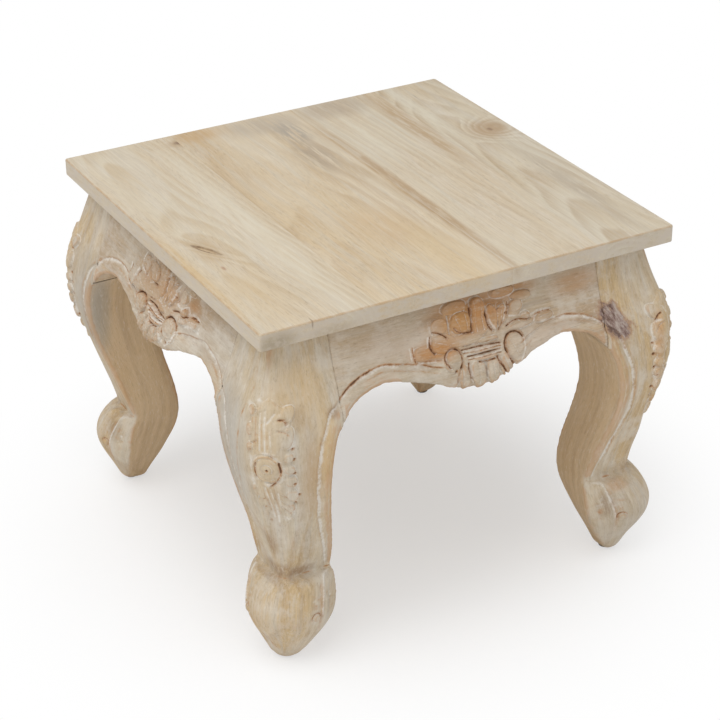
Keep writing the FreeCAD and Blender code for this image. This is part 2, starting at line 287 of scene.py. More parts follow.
KNEE_WHITE_SPOTS = (
    ((-15, 298), (7, 7)), ((-6, 307), (6, 4)), ((17, 284), (5, 2)), ((-14, 250), (4, 9)),
    ((-14, 228), (4, 9)), ((25, 265), (3, 12)), ((24, 220), (3, 16)), ((3, 224), (12, 3)),
    ((3, 259), (13, 2.5)), ((12, 182), (6, 6)),
)
KNEE_HATCHES = (
    ((11, 214), (17, 211), (22, 203)), ((10, 206), (16, 202), (20, 194)),
    ((9, 197), (14, 193), (17, 185)), ((-6, 196), (-14, 190)), ((-6, 207), (-14, 202)),
    ((13, 281), (18, 279), (22, 273)), ((-8, 270), (-15, 266)),
)
KNEE_SLOTS = (
    ([(-9, 231), (-10.6, 239), (-9.5, 247)], 1.3, 0.6), ([(14, 236), (15.2, 243), (14, 250)], 1.5, 1.0),
    ([(12.5, 234), (9, 227), (3, 222)], 1.2, 0.75), ([(12.5, 291), (16, 290), (18.5, 285)], 1.3, 0.75),
    ([(6, 256), (10, 254)], 1.0, 0.4),
)
KNEE_HOLES = (
    ((2.5, 241.5), 0.9), ((25.5, 262), 0.8), ((26, 251), 0.9), ((24.5, 236), 0.9), ((23, 227), 0.6),
    ((25, 212), 0.7), ((22, 203), 0.4), ((-13, 262), 0.3), ((-12, 195), 0.4), ((-9, 181), 0.4),
    ((-6, 174), 0.4),
)


# Gives the ornament's height, the darkness of its cuts and the white on it
def knee_ornament(n, z, hand):
    n, z = wander(n, z, 9.0, 0.6 + 0.25 * hand, 0.4 + hand)
    heights, halves = np.array(KNEE_HALF_WIDTHS).T
    edge = np.interp(z, heights, halves, left=-9, right=-9) - np.abs(n - KNEE_CENTRE)
    around = step(z, 160, 185) * (1 - step(z, 298, 316))
    ground = -GROUND_DEPTH * bell(edge + 3.5, 4.5) * around
    inside = step(edge + 1.5 * chisel(n, z, 4.0, hand), -1, 3.5)
    plate = ground * (1 - inside) + inside * KNEE_RISE + np.clip(edge / 20, 0, 1) * 0.8
    dark = np.zeros_like(n)
    white = 0.3 * bell(edge - 1, 3.0) * around
    for root, tip, width, dome, rib in KNEE_LEAVES:
        plate += leaf(n, z, root, tip, width, 0.4, dome, rib)
    for centre, radii in KNEE_LOBES:
        lobe = pillow(n, z, centre, radii, 0, 1.2, 0.9)
        plate = np.maximum(plate, lobe + KNEE_RISE * step(lobe, 0, 0.4))
    for path in KNEE_FLUTES:
        cut(plate, dark, n, z, path, 1.6, 0.5, 0.22)
    for path in KNEE_WHITE_LINES:
        groove = chased(n, z, path, 1.4)[0]
        plate -= groove * 0.7
        white = np.maximum(white, groove * 0.7)
    for path in KNEE_HATCHES:
        cut(plate, dark, n, z, path, 1.0, 1.3 * inside, 0.3 * inside)
    disc = pillow(n, z, ROSETTE, ROSETTE_RADII, 0, KNEE_RISE + 1.7, 0.5, 2.6)
    plate = np.where(disc > 0.1, np.maximum(np.minimum(plate, KNEE_RISE), disc), plate)
    for radii, count, width, depth in ROSETTE_RINGS:
        plate -= chased(n, z, arc(ROSETTE, radii, 0, 360, count), width)[0] * depth
    plate += spot(n, z, ROSETTE, (4, 4)) * 0.7
    for centre, radii in KNEE_WHITE_SPOTS:
        white = np.maximum(white, 0.7 * spot(n, z, centre, radii))
    from_rosette = np.hypot(n - ROSETTE[0], z - ROSETTE[1]) - ROSETTE_RADII[1]
    white = np.maximum(white, 0.6 * bell(from_rosette, 2.5))
    for path, width, shade in KNEE_SLOTS:
        cut(plate, dark, n, z, path, width, SLOT_DEPTH, shade)
    for hole, shade in KNEE_HOLES:
        drill(plate, dark, n, z, hole, HOLE_RADIUS, shade)
    return plate + 0.22 * inside * chisel(n, z, 2.6, hand), dark, white


# Rolled bead along the arch and the leg's inner edge, parted from the ground by a cove.
# Gives the height at a distance from the edge, the white left in the cove and the dark line above it, which
# is painted shade with some brown dirt.
BEAD_WIDTHS = ((95, 7.0), (130, 12.0), (180, 16.0), (240, 17.0), (272, 17.0), (295, 17.0))


def bead(distance, z):
    heights, widths = np.array(BEAD_WIDTHS).T
    width = np.interp(z, heights, widths)
    part = distance / width
    roll = np.clip(1 - np.abs(part / 0.68 * 2 - 1) ** 2.2, 0, 1) * np.minimum(1.3, 0.09 * width)
    roll -= 0.35 * bell(part - 0.3, 0.05)
    cove = step(part, 0.64, 0.88) * (1 - step(part, 0.97, 1.04))
    white = bell(part - 0.84, 0.12) + 0.4 * bell(part - 0.3, 0.06)
    line = bell(part - 1.0, 0.06) + 0.5 * bell(part - 0.67, 0.05)
    return roll - np.minimum(1.5, 0.1 * width) * cove, white, line


def evened(values):
    return np.convolve(np.pad(values, 2, "edge"), np.ones(5) / 5, "valid")


# Edge that the bead follows, read from the blanks: lowest points of the arch, inmost points of the leg
def lowest_edge(u, v, low, high, gap):
    bins = np.arange(low, high, gap)
    place = np.digitize(u, bins)
    return (bins[:-1] + bins[1:]) / 2, evened([v[place == b].min() for b in range(1, len(bins))])


# Hollows and ridges of the finished surface, kept on the mesh for the limewash and the wear; also the dark of
# the cuts, which is painted shade with some brown dirt, and how far each point faces inwards, for inner faces
# tinted browner and darker, partly as painted shade
FINE_ROUNDS = 2
WIDE_ROUNDS = 14


def mark_relief(piece, white, dark, rubbed):
    points = read_points(piece) / MM
    normals = read_points(piece, "normal")
    edges = read_edges(piece)
    hollow = ((neighbours(points, edges) - points) * normals).sum(axis=1)
    for _ in range(FINE_ROUNDS):
        hollow = 0.5 * hollow + 0.5 * neighbours(hollow, edges)
    wide = hollow
    for _ in range(WIDE_ROUNDS):
        wide = 0.3 * wide + 0.7 * neighbours(wide, edges)
    recess = (np.clip(hollow * 9, 0, 1) * 0.7 + np.clip(wide * 16, 0, 1) * 0.5) * rubbed
    crest = (np.clip(-hollow * 8, 0, 1) * 0.7 + np.clip(-wide * 14, 0, 1) * 0.5) * rubbed
    inward = -(points[:, :2] * normals[:, :2]).sum(axis=1) / np.hypot(points[:, 0], points[:, 1])
    layers = {"recess": np.maximum(recess, white), "crest": crest, "dark_cut": dark, "inward": inward}
    for name, values in layers.items():
        layer = piece.data.attributes.new(name, "FLOAT", "POINT")
        layer.data.foreach_set("value", np.clip(values, 0, 1).astype(np.float32))


def turned_copy(piece, name, points, angle):
    copy = fresh(name, piece.data)
    move_points(copy, points)
    copy.data.transform(Matrix.Rotation(math.radians(angle), 4, "Z"))
    return copy


apron_blank = carving_blank("apron_front", "apron_blank")
leg_blank = carving_blank("leg_front_right", "leg_blank")
EDGE_STEP = 3
points = read_points(apron_blank) / MM
shown = np.abs(points[:, 0]) < JOINT_HALF
arch_x, arch_z = lowest_edge(points[shown, 0], points[shown, 2], -JOINT_HALF, JOINT_HALF + 1, EDGE_STEP)
points = read_points(leg_blank) / MM
inner_z, inner_x = lowest_edge(points[:, 2], points[:, 0], ANKLE + 1, ARCH_END, EDGE_STEP)
face_z, face_y = lowest_edge(points[:, 2], points[:, 1], 1, FRAME_TOP + 1, EDGE_STEP)
leg_line = list(zip(inner_x, inner_z))
bead_line = [(-x, z) for x, z in leg_line] + list(zip(arch_x, arch_z)) + leg_line[::-1]


# How far a leg's point lies out along the corner's diagonal and across it
def leg_places(points):
    return (points[:, 0] - points[:, 1]) / DIAGONAL, (points[:, 0] + points[:, 1]) / DIAGONAL, points[:, 2]


# Where the finer mesh lies and where the ornament is looked for: limits of out, across and up
KNEE_FIELD = ((272, 400), (-1, 28), (166, 314))
FOOT_FIELD = ((257, 294), (24, 100), (52, 98))
KNEE_NEAR = ((255, 400), (-1, 44), (150, 325))


def in_field(places, field):
    out, across, z = places
    sides = zip((out, np.abs(across), z), field)
    return np.logical_and.reduce([(place > low) & (place < high) for place, (low, high) in sides])


def on_leg_carving(centres):
    places = leg_places(centres)
    return in_field(places, KNEE_FIELD) | in_field(places, FOOT_FIELD)


# Which points of a leg lie in its joints with the aprons, and which ways the others may move
LEG_JOINTS = ((0, 1, 1), (1, -1, 0))
JOINT_KEEP = 4
SEAM_WIDTH = 3


def leg_freedom(points):
    depth = -np.interp(points[:, 2], face_z, face_y) - ON_FACE
    post = points[:, 2] > ARCH_END + ON_FACE
    hidden = points[:, 2] > FRAME_TOP - ON_TOP
    free = np.ones_like(points)
    for axis, sign, other in LEG_JOINTS:
        on_joint = sign * points[:, axis] < JOINT_HALF + ON_JOINT
        hidden |= post & on_joint & (np.abs(points[:, other]) < depth)
        free[on_joint, axis] = 0
        by_joint = sign * points[:, axis] < JOINT_HALF + JOINT_KEEP
        free[by_joint & (points[:, 2] > ARCH_END - JOINT_KEEP)] = 0
    free[points[:, 2] > FRAME_TOP - ON_FACE, 2] = 0
    return free * ~hidden[:, None], hidden


sand(leg_blank, *leg_freedom(points))
refine(leg_blank, on_leg_carving)
leg_points = read_points(leg_blank) / MM
leg_hidden = leg_freedom(leg_points)[1]
leg_normals = read_points(leg_blank, "normal")
leg_seam = np.zeros(len(leg_points), dtype=bool)
for axis, sign, _ in LEG_JOINTS:
    post = leg_points[:, 2] > ARCH_END - 1
    leg_normals[(sign * leg_points[:, axis] < JOINT_HALF + ON_JOINT) & post, axis] = 0
    leg_seam |= (sign * leg_points[:, axis] < JOINT_HALF + SEAM_WIDTH) & post
leg_normals /= np.maximum(np.linalg.norm(leg_normals, axis=1), 0.01)[:, None]
leg_out, leg_across, leg_z = leg_places(leg_points)
leg_facing = (leg_normals[:, 0] - leg_normals[:, 1]) / DIAGONAL

# Places along the leg: across it, out from its middle and up, for a figure that follows its curve
FIGURE_ROW = 8
FIGURE_HALF = 40
rows = np.arange(0, FRAME_TOP + FIGURE_ROW, FIGURE_ROW)
row = np.digitize(leg_z, rows)
in_rows = [row == r for r in range(1, len(rows))]
row_fronts = [leg_out[found].max() for found in in_rows]
row_backs = [leg_out[found].min() for found in in_rows]
row_halves = [np.abs(leg_across[found]).max() for found in in_rows]
fronts, backs, halves = (
    np.interp(leg_z, rows[:-1] + FIGURE_ROW / 2, evened(values))
    for values in (row_fronts, row_backs, row_halves)
)
depths = 2 * FIGURE_HALF * (leg_out - backs) / (fronts - backs) - FIGURE_HALF
leg_along = np.stack((FIGURE_HALF * leg_across / halves, depths, leg_z), axis=1)

# Knee: the ornament fades out where the leg turns away. The knees of the two right-hand legs are mirrored.
MIRRORED = ("front_right", "back_right")


def carve_knee(corner, hand, height, dark, white):
    near = in_field((leg_out, leg_across, leg_z), KNEE_NEAR)
    n, facing = leg_across[near], leg_facing[near]
    plate, cuts, chalk = knee_ornament(-n if corner in MIRRORED else n, leg_z[near], hand)
    height[near] += plate * step(facing, 0.45, 0.66)
    dark[near] = cuts * step(facing, 0.5, 0.68)
    white[near] = chalk * step(facing, 0.45, 0.66)


# Worn brown lines down the left arris of the front left leg and round the left of its foot
ARRIS_LINE = ((-12, 332), (-13.5, 316), (-18, 304), (-28, 284), (-29, 269), (-33, 232), (-34, 205))
FOOT_EDGE = ((-34, 70), (-29, 56), (-18, 38), (-4, 20))
WORN_FROM = 240


def wear_arris(hand, dark):
    worn = 0
    for path, width, share, size in ((ARRIS_LINE, 1.4, 0.22, 7.0), (FOOT_EDGE, 2.0, 0.3, 5.0)):
        line = chased(leg_across, leg_z, path, width)[1]
        worn = worn + line * (share + 0.2 * chisel(leg_across, leg_z, size, hand))
    np.maximum(dark, worn * (leg_out > WORN_FROM), out=dark)


def carve_beads(hand, height, dark, white):
    for u, face in ((leg_points[:, 0], -leg_normals[:, 1]), (-leg_points[:, 1], leg_normals[:, 0])):
        roll, cove, line = bead(reach(u, leg_z, bead_line) + 0.8 * chisel(u, leg_z, 9.0, hand), leg_z)
        open_face = step(face, 0.3, 0.55) * step(leg_z, ANKLE - 3, ANKLE + 8)
        height += roll * open_face
        np.maximum(white, cove * open_face * (0.34 + 0.25 * chisel(u, leg_z, 14.0, hand)), out=white)
        np.maximum(dark, line * open_face * (0.16 + 0.2 * chisel(u, leg_z, 18.0, hand + 1)), out=dark)


# Foot scroll: a ridge from the ankle down each side into a small eye, with rough scoops beside it and a
# cut rim round the front
FOOT_LINE = ((254, 97), (262, 97), (267, 94), (273, 84), (278, 74), (281, 65), (281, 60))
FOOT_EYE = (287.5, 61)
EYE_RADII = (4.8, 4.8)
BOSS_RADII = (3.9, 3.9)
SCOOPS = ((1.9, (266, 71), (7, 17)), (1.7, (285, 77), (8, 11)))
RIDGE_RISE = 1.2
EYE_DEPTH = 1.5
RIM_DEPTH = 0.9


def carve_foot(hand, height, dark, white):
    out, z = leg_out, leg_z
    foot_z, halves = lowest_edge(z[z < ANKLE], -np.abs(leg_across)[z < ANKLE], EDGE_STEP, ANKLE, EDGE_STEP)
    share = np.abs(leg_across) / -np.interp(z, foot_z, halves)
    side = step(share, 0.5, 0.8) * step(1.5 + ANKLE - z, 0, 3) * step(z, 14, 24)
    ridge = chased(out, z, FOOT_LINE, 0.9)[0]
    eye, eye_line = chased(out, z, arc(FOOT_EYE, EYE_RADII, -30, 200), 1.0)
    scoop = sum(depth * spot(out, z, centre, radii) for depth, centre, radii in SCOOPS)
    scoop *= 1 + 0.35 * chisel(out, z, 2.6, hand + 3)
    height += (RIDGE_RISE * ridge - EYE_DEPTH * eye - scoop) * side
    height += pillow(out, z, FOOT_EYE, BOSS_RADII, 0, 0.8, 0.8) * side
    rough = chisel(out, z, 3.4, hand + 5)
    np.maximum(white, (ridge + 0.6 * eye + 0.35 * scoop * (0.3 + rough)) * side, out=white)
    # Dark at the bottom of the eye's groove and in parts of the scoops: painted shade with some brown dirt
    np.maximum(dark, (0.5 * eye_line + 0.14 * scoop * (0.4 - rough) * (1 - ridge)) * side, out=dark)
    rim = bell(share - 0.86, 0.03) * step(z, 30, 45) * step(ANKLE - z, 2, 8)
    rim *= step(leg_facing, 0.15, 0.4)
    height -= rim * RIM_DEPTH
    np.maximum(white, rim * 0.35, out=white)
    # Dark in the rim cut: painted shade
    np.maximum(dark, rim * 0.2, out=dark)


# Ankle: a shallow cut above the foot, painted dark in places as shade in the cut, and white between them
ANKLE_CUT_DEPTH = 0.6


def cut_ankle(hand, height, dark, white):
    ring = bell(leg_z - ANKLE - 1.5 + 1.5 * chisel(leg_across, leg_z, 6.0, hand), 0.9)
    ring *= 1 - step(np.abs(leg_normals[:, 2]), 0.55, 0.85)
    height -= ANKLE_CUT_DEPTH * ring * step(leg_facing, 0.0, 0.3)
    ring *= step(leg_facing, -0.2, 0.3)
    bits = chisel(leg_across, leg_z, 5.0, hand + 1)
    np.maximum(dark, ring * (0.16 + 0.6 * bits), out=dark)
    np.maximum(white, ring * (0.3 - 0.6 * bits), out=white)


# The hand-made legs differ: some lean by a few millimetres (outwards, to the right) at the toe, the foot
# and the shin, and one is stouter in front
UPRIGHT = ((0, 0), (0, 0), (0, 0))
LEANS = {"front_left": ((0, 0), (0, 2.5), (0, 5.0)), "back_left": ((-5, 0), (-6, 0), (-4, 0))}
STOUTER = {"front_right": 3}


def lean(points, corner):
    toe = 1 - step(leg_z, 0, 45)
    foot = step(leg_z, 0, 45) * (1 - step(leg_z, 80, 160))
    shin = step(leg_z, 80, 160) * (1 - step(leg_z, 180, 264))
    stout = step(leg_along[:, 1], -20, 20) * step(leg_z, 10, 50) * (1 - step(leg_z, 200, 330))
    moves = LEANS.get(corner, UPRIGHT) + ((STOUTER.get(corner, 0), 0),)
    for share, (outwards, sideways) in zip((toe, foot, shin, stout), moves):
        points += share[:, None] / DIAGONAL * np.array((outwards + sideways, sideways - outwards, 0))


# Marks left by the plane along the grain and by the gouge
PLANE_DEPTH = 0.14
LEG_GOUGE_DEPTH = 0.25
FIGURE_SHIFT = 170


def carve_leg(corner, hand):
    height = PLANE_DEPTH * chisel(leg_across, leg_z / 8, 2.4, hand)
    height += LEG_GOUGE_DEPTH * chisel(leg_across, leg_z / 3, 8.0, hand + 2)
    dark, white = np.zeros_like(leg_z), np.zeros_like(leg_z)
    carve_knee(corner, hand, height, dark, white)
    if corner == "front_left":
        wear_arris(hand, dark)
    carve_beads(hand, height, dark, white)
    carve_foot(hand, height, dark, white)
    cut_ankle(hand, height, dark, white)
    height[leg_hidden] = 0
    carved = leg_points + leg_normals * height[:, None]
    lean(carved, corner)
    leg = turned_copy(leg_blank, "carved_leg_" + corner, carved, CORNER_TURNS[corner])
    mark_relief(leg, white, dark, np.where(leg_seam, 0.0, 1 - 0.8 * bell(leg_z - ANKLE, 6)))
    layer = leg.data.attributes.new("along_leg", "FLOAT_VECTOR", "POINT")
    layer.data.foreach_set("vector", (leg_along + (FIGURE_SHIFT * hand, 0, 0)).astype(np.float32).ravel())
    return leg


LEG_HANDS = {"front_left": 0.0, "front_right": 1.0, "back_left": 2.0, "back_right": 3.0}
legs = {corner: carve_leg(corner, hand) for corner, hand in LEG_HANDS.items()}
bpy.data.objects.remove(leg_blank)


# Shader bench: it holds the node tree in work. Each helper adds a step and hands back its socket or node.
class Bench:
    tree = None


def paint(red, green, blue):
    shares = [channel / 255 for channel in (red, green, blue)]
    return tuple(s / 12.92 if s < 0.04 else ((s + 0.055) / 1.055) ** 2.4 for s in shares) + (1.0,)


def plug(source, socket):
    Bench.tree.links.new(source, socket)


def tool(kind, links, **settings):
    made = Bench.tree.nodes.new("ShaderNode" + kind)
    for key, value in settings.items():
        setattr(made, key, value)
    for socket, source in links.items():
        if isinstance(source, bpy.types.NodeSocket):
            plug(source, made.inputs[socket])
        else:
            made.inputs[socket].default_value = source
    return made


def vector(how, first, second=(0, 0, 0), third=(0, 0, 0)):
    made = tool("VectorMath", {0: first, 1: second, 2: third}, operation=how)
    return made.outputs["Value" if how in ("LENGTH", "DOT_PRODUCT") else "Vector"]


def number(how, first, second=0.0, third=0.0):
    return tool("Math", {0: first, 1: second, 2: third}, operation=how).outputs[0]


def noise(place, sizes, detail=2.0, rough=0.5, output="Fac"):
    spread = vector("MULTIPLY", place, [1 / size for size in sizes])
    links = {"Vector": spread, "Scale": 1.0, "Detail": detail, "Roughness": rough}
    return tool("TexNoise", links).outputs[output]


def between(value, low, high, top=1.0, bottom=0.0):
    links = {"Value": value, "From Min": low, "From Max": high, "To Min": bottom, "To Max": top}
    return tool("MapRange", links, interpolation_type="SMOOTHSTEP").outputs[0]


def tint(share, under, over, how="MIX"):
    links = {0: share, 6: under, 7: over}
    return tool("Mix", links, data_type="RGBA", blend_type=how).outputs[2]


def attribute(name, output="Fac"):
    return tool("Attribute", {}, attribute_name=name).outputs[output]


# A new material on the bench, its shader, and the place on the piece in millimetres
def new_material(name):
    material = bpy.data.materials.new(name)
    material.use_nodes = True
    Bench.tree = material.node_tree
    metres = tool("TexCoord", {}).outputs["Object"]
    return material, Bench.tree.nodes["Principled BSDF"], vector("MULTIPLY", metres, [1 / MM] * 3)


def dress(piece, material):
    piece.data.materials.clear()
    piece.data.materials.append(material)


# Colours of the finish: limewash, bare and rubbed wood, white and dark in the cuts (the dark is painted shade
# with some brown dirt), bark
GRAIN_TURNS = {"x": (0, 0, math.radians(90)), "y": (0, 0, 0), "leg": (math.radians(-90), 0, 0)}
LIME = paint(216, 208, 195)
BARE = paint(186, 141, 98)
CHALK = paint(227, 222, 213)
AMBER = paint(178, 126, 78)
CUT_BROWN = paint(88, 60, 42)
PORE_BROWN = paint(140, 118, 92)
EDGE_GREY = paint(201, 189, 173)
WORN = paint(176, 134, 88)
INSIDE_PALE = paint(199, 171, 133)
INSIDE_DEEP = paint(180, 151, 114)
BARK = paint(140, 120, 115)
BARK_PALE = paint(184, 172, 163)
BARK_DARK = paint(92, 70, 64)
BARK_RED = paint(158, 112, 82)


# Stains: each a soft patch round a place, broken up along the grain
def stained(colour, place, torn, stains):
    for centre, radii, shade, strength, ragged in stains:
        away = vector("MULTIPLY", vector("SUBTRACT", place, centre), [1 / r for r in radii])
        away = number("MULTIPLY_ADD", torn, 0.6, vector("LENGTH", away))
        broken = between(torn, 0.38, 0.58, strength, strength * (1 - ragged))
        share = number("MULTIPLY", between(away, 1.4, 0.6), broken)
        colour = tint(share, colour, paint(*shade))
    return colour


# Outer edge of the top: shaggy grey saw marks, and an arris rubbed bare
def worn_rim(colour, place, mottle, half, top):
    inset = tool("SeparateXYZ", {"Vector": vector("ABSOLUTE", place)}).outputs
    side = number("SUBTRACT", half, number("MAXIMUM", inset[0], inset[1]))
    drop = number("SUBTRACT", top, inset[2])
    edge_face = number("MULTIPLY", between(side, 1.5, 0.4), between(drop, 1.0, 3.0))
    shaggy = between(noise(place, (16, 16, 7), 6.0, 0.75), 0.38, 0.62, 1.0, 0.1)
    colour = tint(number("MULTIPLY", edge_face, shaggy), colour, EDGE_GREY)
    away = number("ADD", number("ADD", side, drop), number("MULTIPLY", mottle, 3.0))
    return tint(between(away, 3.6, 1.6, 0.6), colour, WORN)


# Carved wood: blots of lime, browner plain wood on faces turned inside the frame (less lime, and partly
# painted shade), grime, rubbed crests, white and dark in the cuts (the dark is painted shade with some brown
# dirt and worn lines)
def rubbed_carving(colour, place, board, torn, mottle, stains):
    blot = between(noise(place, (26, 26, 26), 5.0, 0.7), 0.42, 0.66, 0.5)
    colour = tint(blot, colour, LIME)
    stripe = noise(board, (9, 500, 9), 6.0, 0.7)
    inside = tint(between(stripe, 0.38, 0.64), INSIDE_PALE, INSIDE_DEEP)
    # Faces turned inwards are tinted browner and darker: less lime there, and partly painted shade
    colour = tint(between(attribute("inward"), 0.1, 0.6, 0.85), colour, inside)
    colour = stained(colour, place, torn, stains)
    grime = noise(board, (1.6, 7, 1.6), 5.0, 0.7)
    colour = tint(between(grime, 0.54, 0.72, 0.4), colour, PORE_BROWN)
    colour = tint(between(grime, 0.46, 0.3, 0.4), colour, LIME)
    worn = number("SUBTRACT", attribute("crest"), 0.95)
    worn = number("MULTIPLY_ADD", mottle, 1.6, worn)
    colour = tint(between(worn, 0.15, 0.75, 0.5), colour, BARE)
    speck = noise(place, (8, 8, 8), 6.0, 0.75)
    chalk = between(speck, 0.36, 0.62, 1.05, 0.4)
    chalk = number("MULTIPLY", attribute("recess"), chalk)
    colour = tint(between(chalk, 0.15, 0.85, 0.75), colour, CHALK)
    # Amber and brown where the cuts are marked dark: painted shade with some brown dirt, and the worn lines
    # down the arris
    cut_shade_dirt_and_wear = between(speck, 0.64, 0.4, 1.0, 0.3)
    cut_shade_dirt_and_wear = number("MULTIPLY", attribute("dark_cut"), cut_shade_dirt_and_wear)
    colour = tint(between(cut_shade_dirt_and_wear, 0.02, 0.4, 0.85), colour, AMBER)
    return tint(between(cut_shade_dirt_and_wear, 0.24, 0.7, 0.9), colour, CUT_BROWN)


# A flake of bark left in the wood, with a reddish border
def bark_patch(colour, place, centre, radii, turn):
    away = vector("SUBTRACT", place, centre)
    slant = tool("Mapping", {"Vector": away, "Rotation": (0, turn, 0)}).outputs[0]
    away = vector("LENGTH", vector("MULTIPLY", slant, [1 / r for r in radii]))
    away = number("MULTIPLY_ADD", noise(slant, (8, 8, 15), 5.0, 0.7), 2.2, away)
    flake = noise(slant, (5, 9, 16), 6.0, 0.75)
    crust = tint(between(flake, 0.44, 0.6), BARK, BARK_PALE)
    crust = tint(between(flake, 0.46, 0.38), crust, BARK_DARK)
    crust = tint(between(attribute("recess"), 0.06, 0.3, 0.9), crust, BARK_DARK)
    colour = tint(between(away, 2.3, 1.9, 0.6), colour, BARK_RED)
    return tint(between(away, 2.05, 1.7, 0.85), colour, crust)


# Limed wood. grain is the axis that it runs along, pith the heart of the tree beside the piece (across,
# lean along the grain, down), tones its pale, warm, deep and grey colours, gap the width of a year ring,
# ring and film how strongly rings and limewash show. Stains and knots are places in millimetres.
OPEN_KNOT_STRETCH = 3


def limed_wood(name, grain, pith, tones, gap, ring, film, stains=(), knots=(), carved=False, rim=(), bark=()):
    pale, warm, deep, grey = (paint(*tone) for tone in tones)
    wood, shader, place = new_material(name)
    way = attribute("along_leg", "Vector") if grain == "leg" else place
    board = tool("Mapping", {"Vector": way, "Rotation": GRAIN_TURNS[grain]}).outputs[0]
    drift = noise(board, (80, 520 if carved else 280, 80), output="Color")
    sway = 7 if carved else 26
    bent = vector("MULTIPLY_ADD", drift, (sway, 0, sway), board)
    mottle = noise(place, (13, 13, 13), 5.0, 0.65)
    torn = noise(bent, (4, 48, 4), 5.0, 0.65)

    # Year rings round the pith, pushed aside by knots
    heart = vector("MULTIPLY", vector("SUBTRACT", bent, (pith[0], 0, pith[2])), (1, 0, 1))
    radius = vector("LENGTH", heart)
    radius = number("ADD", radius, vector("DOT_PRODUCT", bent, (0, pith[1], 0)))
    radius = number("MULTIPLY_ADD", noise(bent, (60, 420, 60)), 9.0, radius)
    cores = []
    for centre, size, stretch, turn in knots:
        away = vector("SUBTRACT", place, centre)
        away = tool("Mapping", {"Vector": away, "Rotation": (0, 0, math.radians(turn))}).outputs[0]
        away = vector("LENGTH", vector("MULTIPLY", away, (1 / size, 1 / size / stretch, 1 / 60)))
        away = number("MULTIPLY_ADD", mottle, 0.5, away)
        radius = number("ADD", radius, between(away, 4.6, 0.2, size * 3.2))
        cores.append(away)
    saw = number("FRACT", number("DIVIDE", radius, gap))
    rings = number("MULTIPLY", between(saw, 0.0, 0.8), between(saw, 1.0, 0.8))
    shown = between(noise(board, (45, 300, 45)), 0.36, 0.66, ring, ring * 0.25)
    for away in cores:
        shown = number("MAXIMUM", shown, between(away, 4.5, 1.5, 0.75))

    # Streaks, lines, fibres and pores along the grain
    streak = noise(bent, (7, 340, 7), 3.0, 0.6)
    line = noise(bent, (2.2, 150, 2.2), 4.0, 0.7)
    fibre = noise(bent, (0.8, 60, 0.8), 3.0, 0.7)
    fleck = noise(bent, (0.8, 13, 0.8))
    patch = between(noise(board, (60, 210, 60)), 0.36, 0.64)
    pores = between(patch, 0.0, 1.0, 0.3, 0.1)
    pores = number("MULTIPLY", between(fleck, 0.58, 0.7), pores)
    colour = tint(patch, pale, warm)
    colour = tint(number("MULTIPLY", rings, shown), colour, deep)
    colour = tint(between(streak, 0.45, 0.68, 0.5), colour, grey)
    colour = tint(between(line, 0.5, 0.72, 0.3), colour, deep)
    colour = tint(between(line, 0.46, 0.3, 0.3), colour, LIME)
    for away, (centre, size, stretch, turn) in zip(cores, knots):
        colour = tint(between(away, 2.6, 0.9, 0.5), colour, deep)
        core = between(away, 0.8, 0.45, 0.85)
        if stretch > OPEN_KNOT_STRETCH:
            core = number("MULTIPLY", between(away, 0.7, 1.1), between(away, 1.6, 1.2))
            core = number("MULTIPLY", core, between(mottle, 0.36, 0.56, 0.35, 1.0))
        colour = tint(core, colour, CUT_BROWN)

    # Finish: a broken film of lime, then what the piece has been through
    veil = between(noise(bent, (16, 120, 16), 5.0, 0.7), 0.46, 0.72, film)
    colour = tint(veil, colour, LIME)
    colour = tint(1.0, colour, between(fibre, 0.3, 0.7, 1.05, 0.92), "MULTIPLY")
    colour = tint(pores, colour, PORE_BROWN)
    if rim:
        colour = worn_rim(colour, place, mottle, *rim)
    if carved:
        colour = rubbed_carving(colour, place, board, torn, mottle, stains)
    else:
        colour = stained(colour, place, torn, stains)
    if bark:
        colour = bark_patch(colour, place, *bark)
    plug(colour, shader.inputs["Base Color"])
    plug(between(fibre, 0.2, 0.8, 0.75, 0.55), shader.inputs["Roughness"])
    shader.inputs["Specular IOR Level"].default_value = 0.25
    grain_height = number("MULTIPLY_ADD", pores, -2.0, fibre)
    grain_height = number("MULTIPLY_ADD", mottle, 1.2 if carved else 0.2, grain_height)
    links = {"Height": grain_height, "Strength": 0.5, "Distance": 0.6 * MM}
    plug(tool("Bump", links).outputs[0], shader.inputs["Normal"])
    return wood


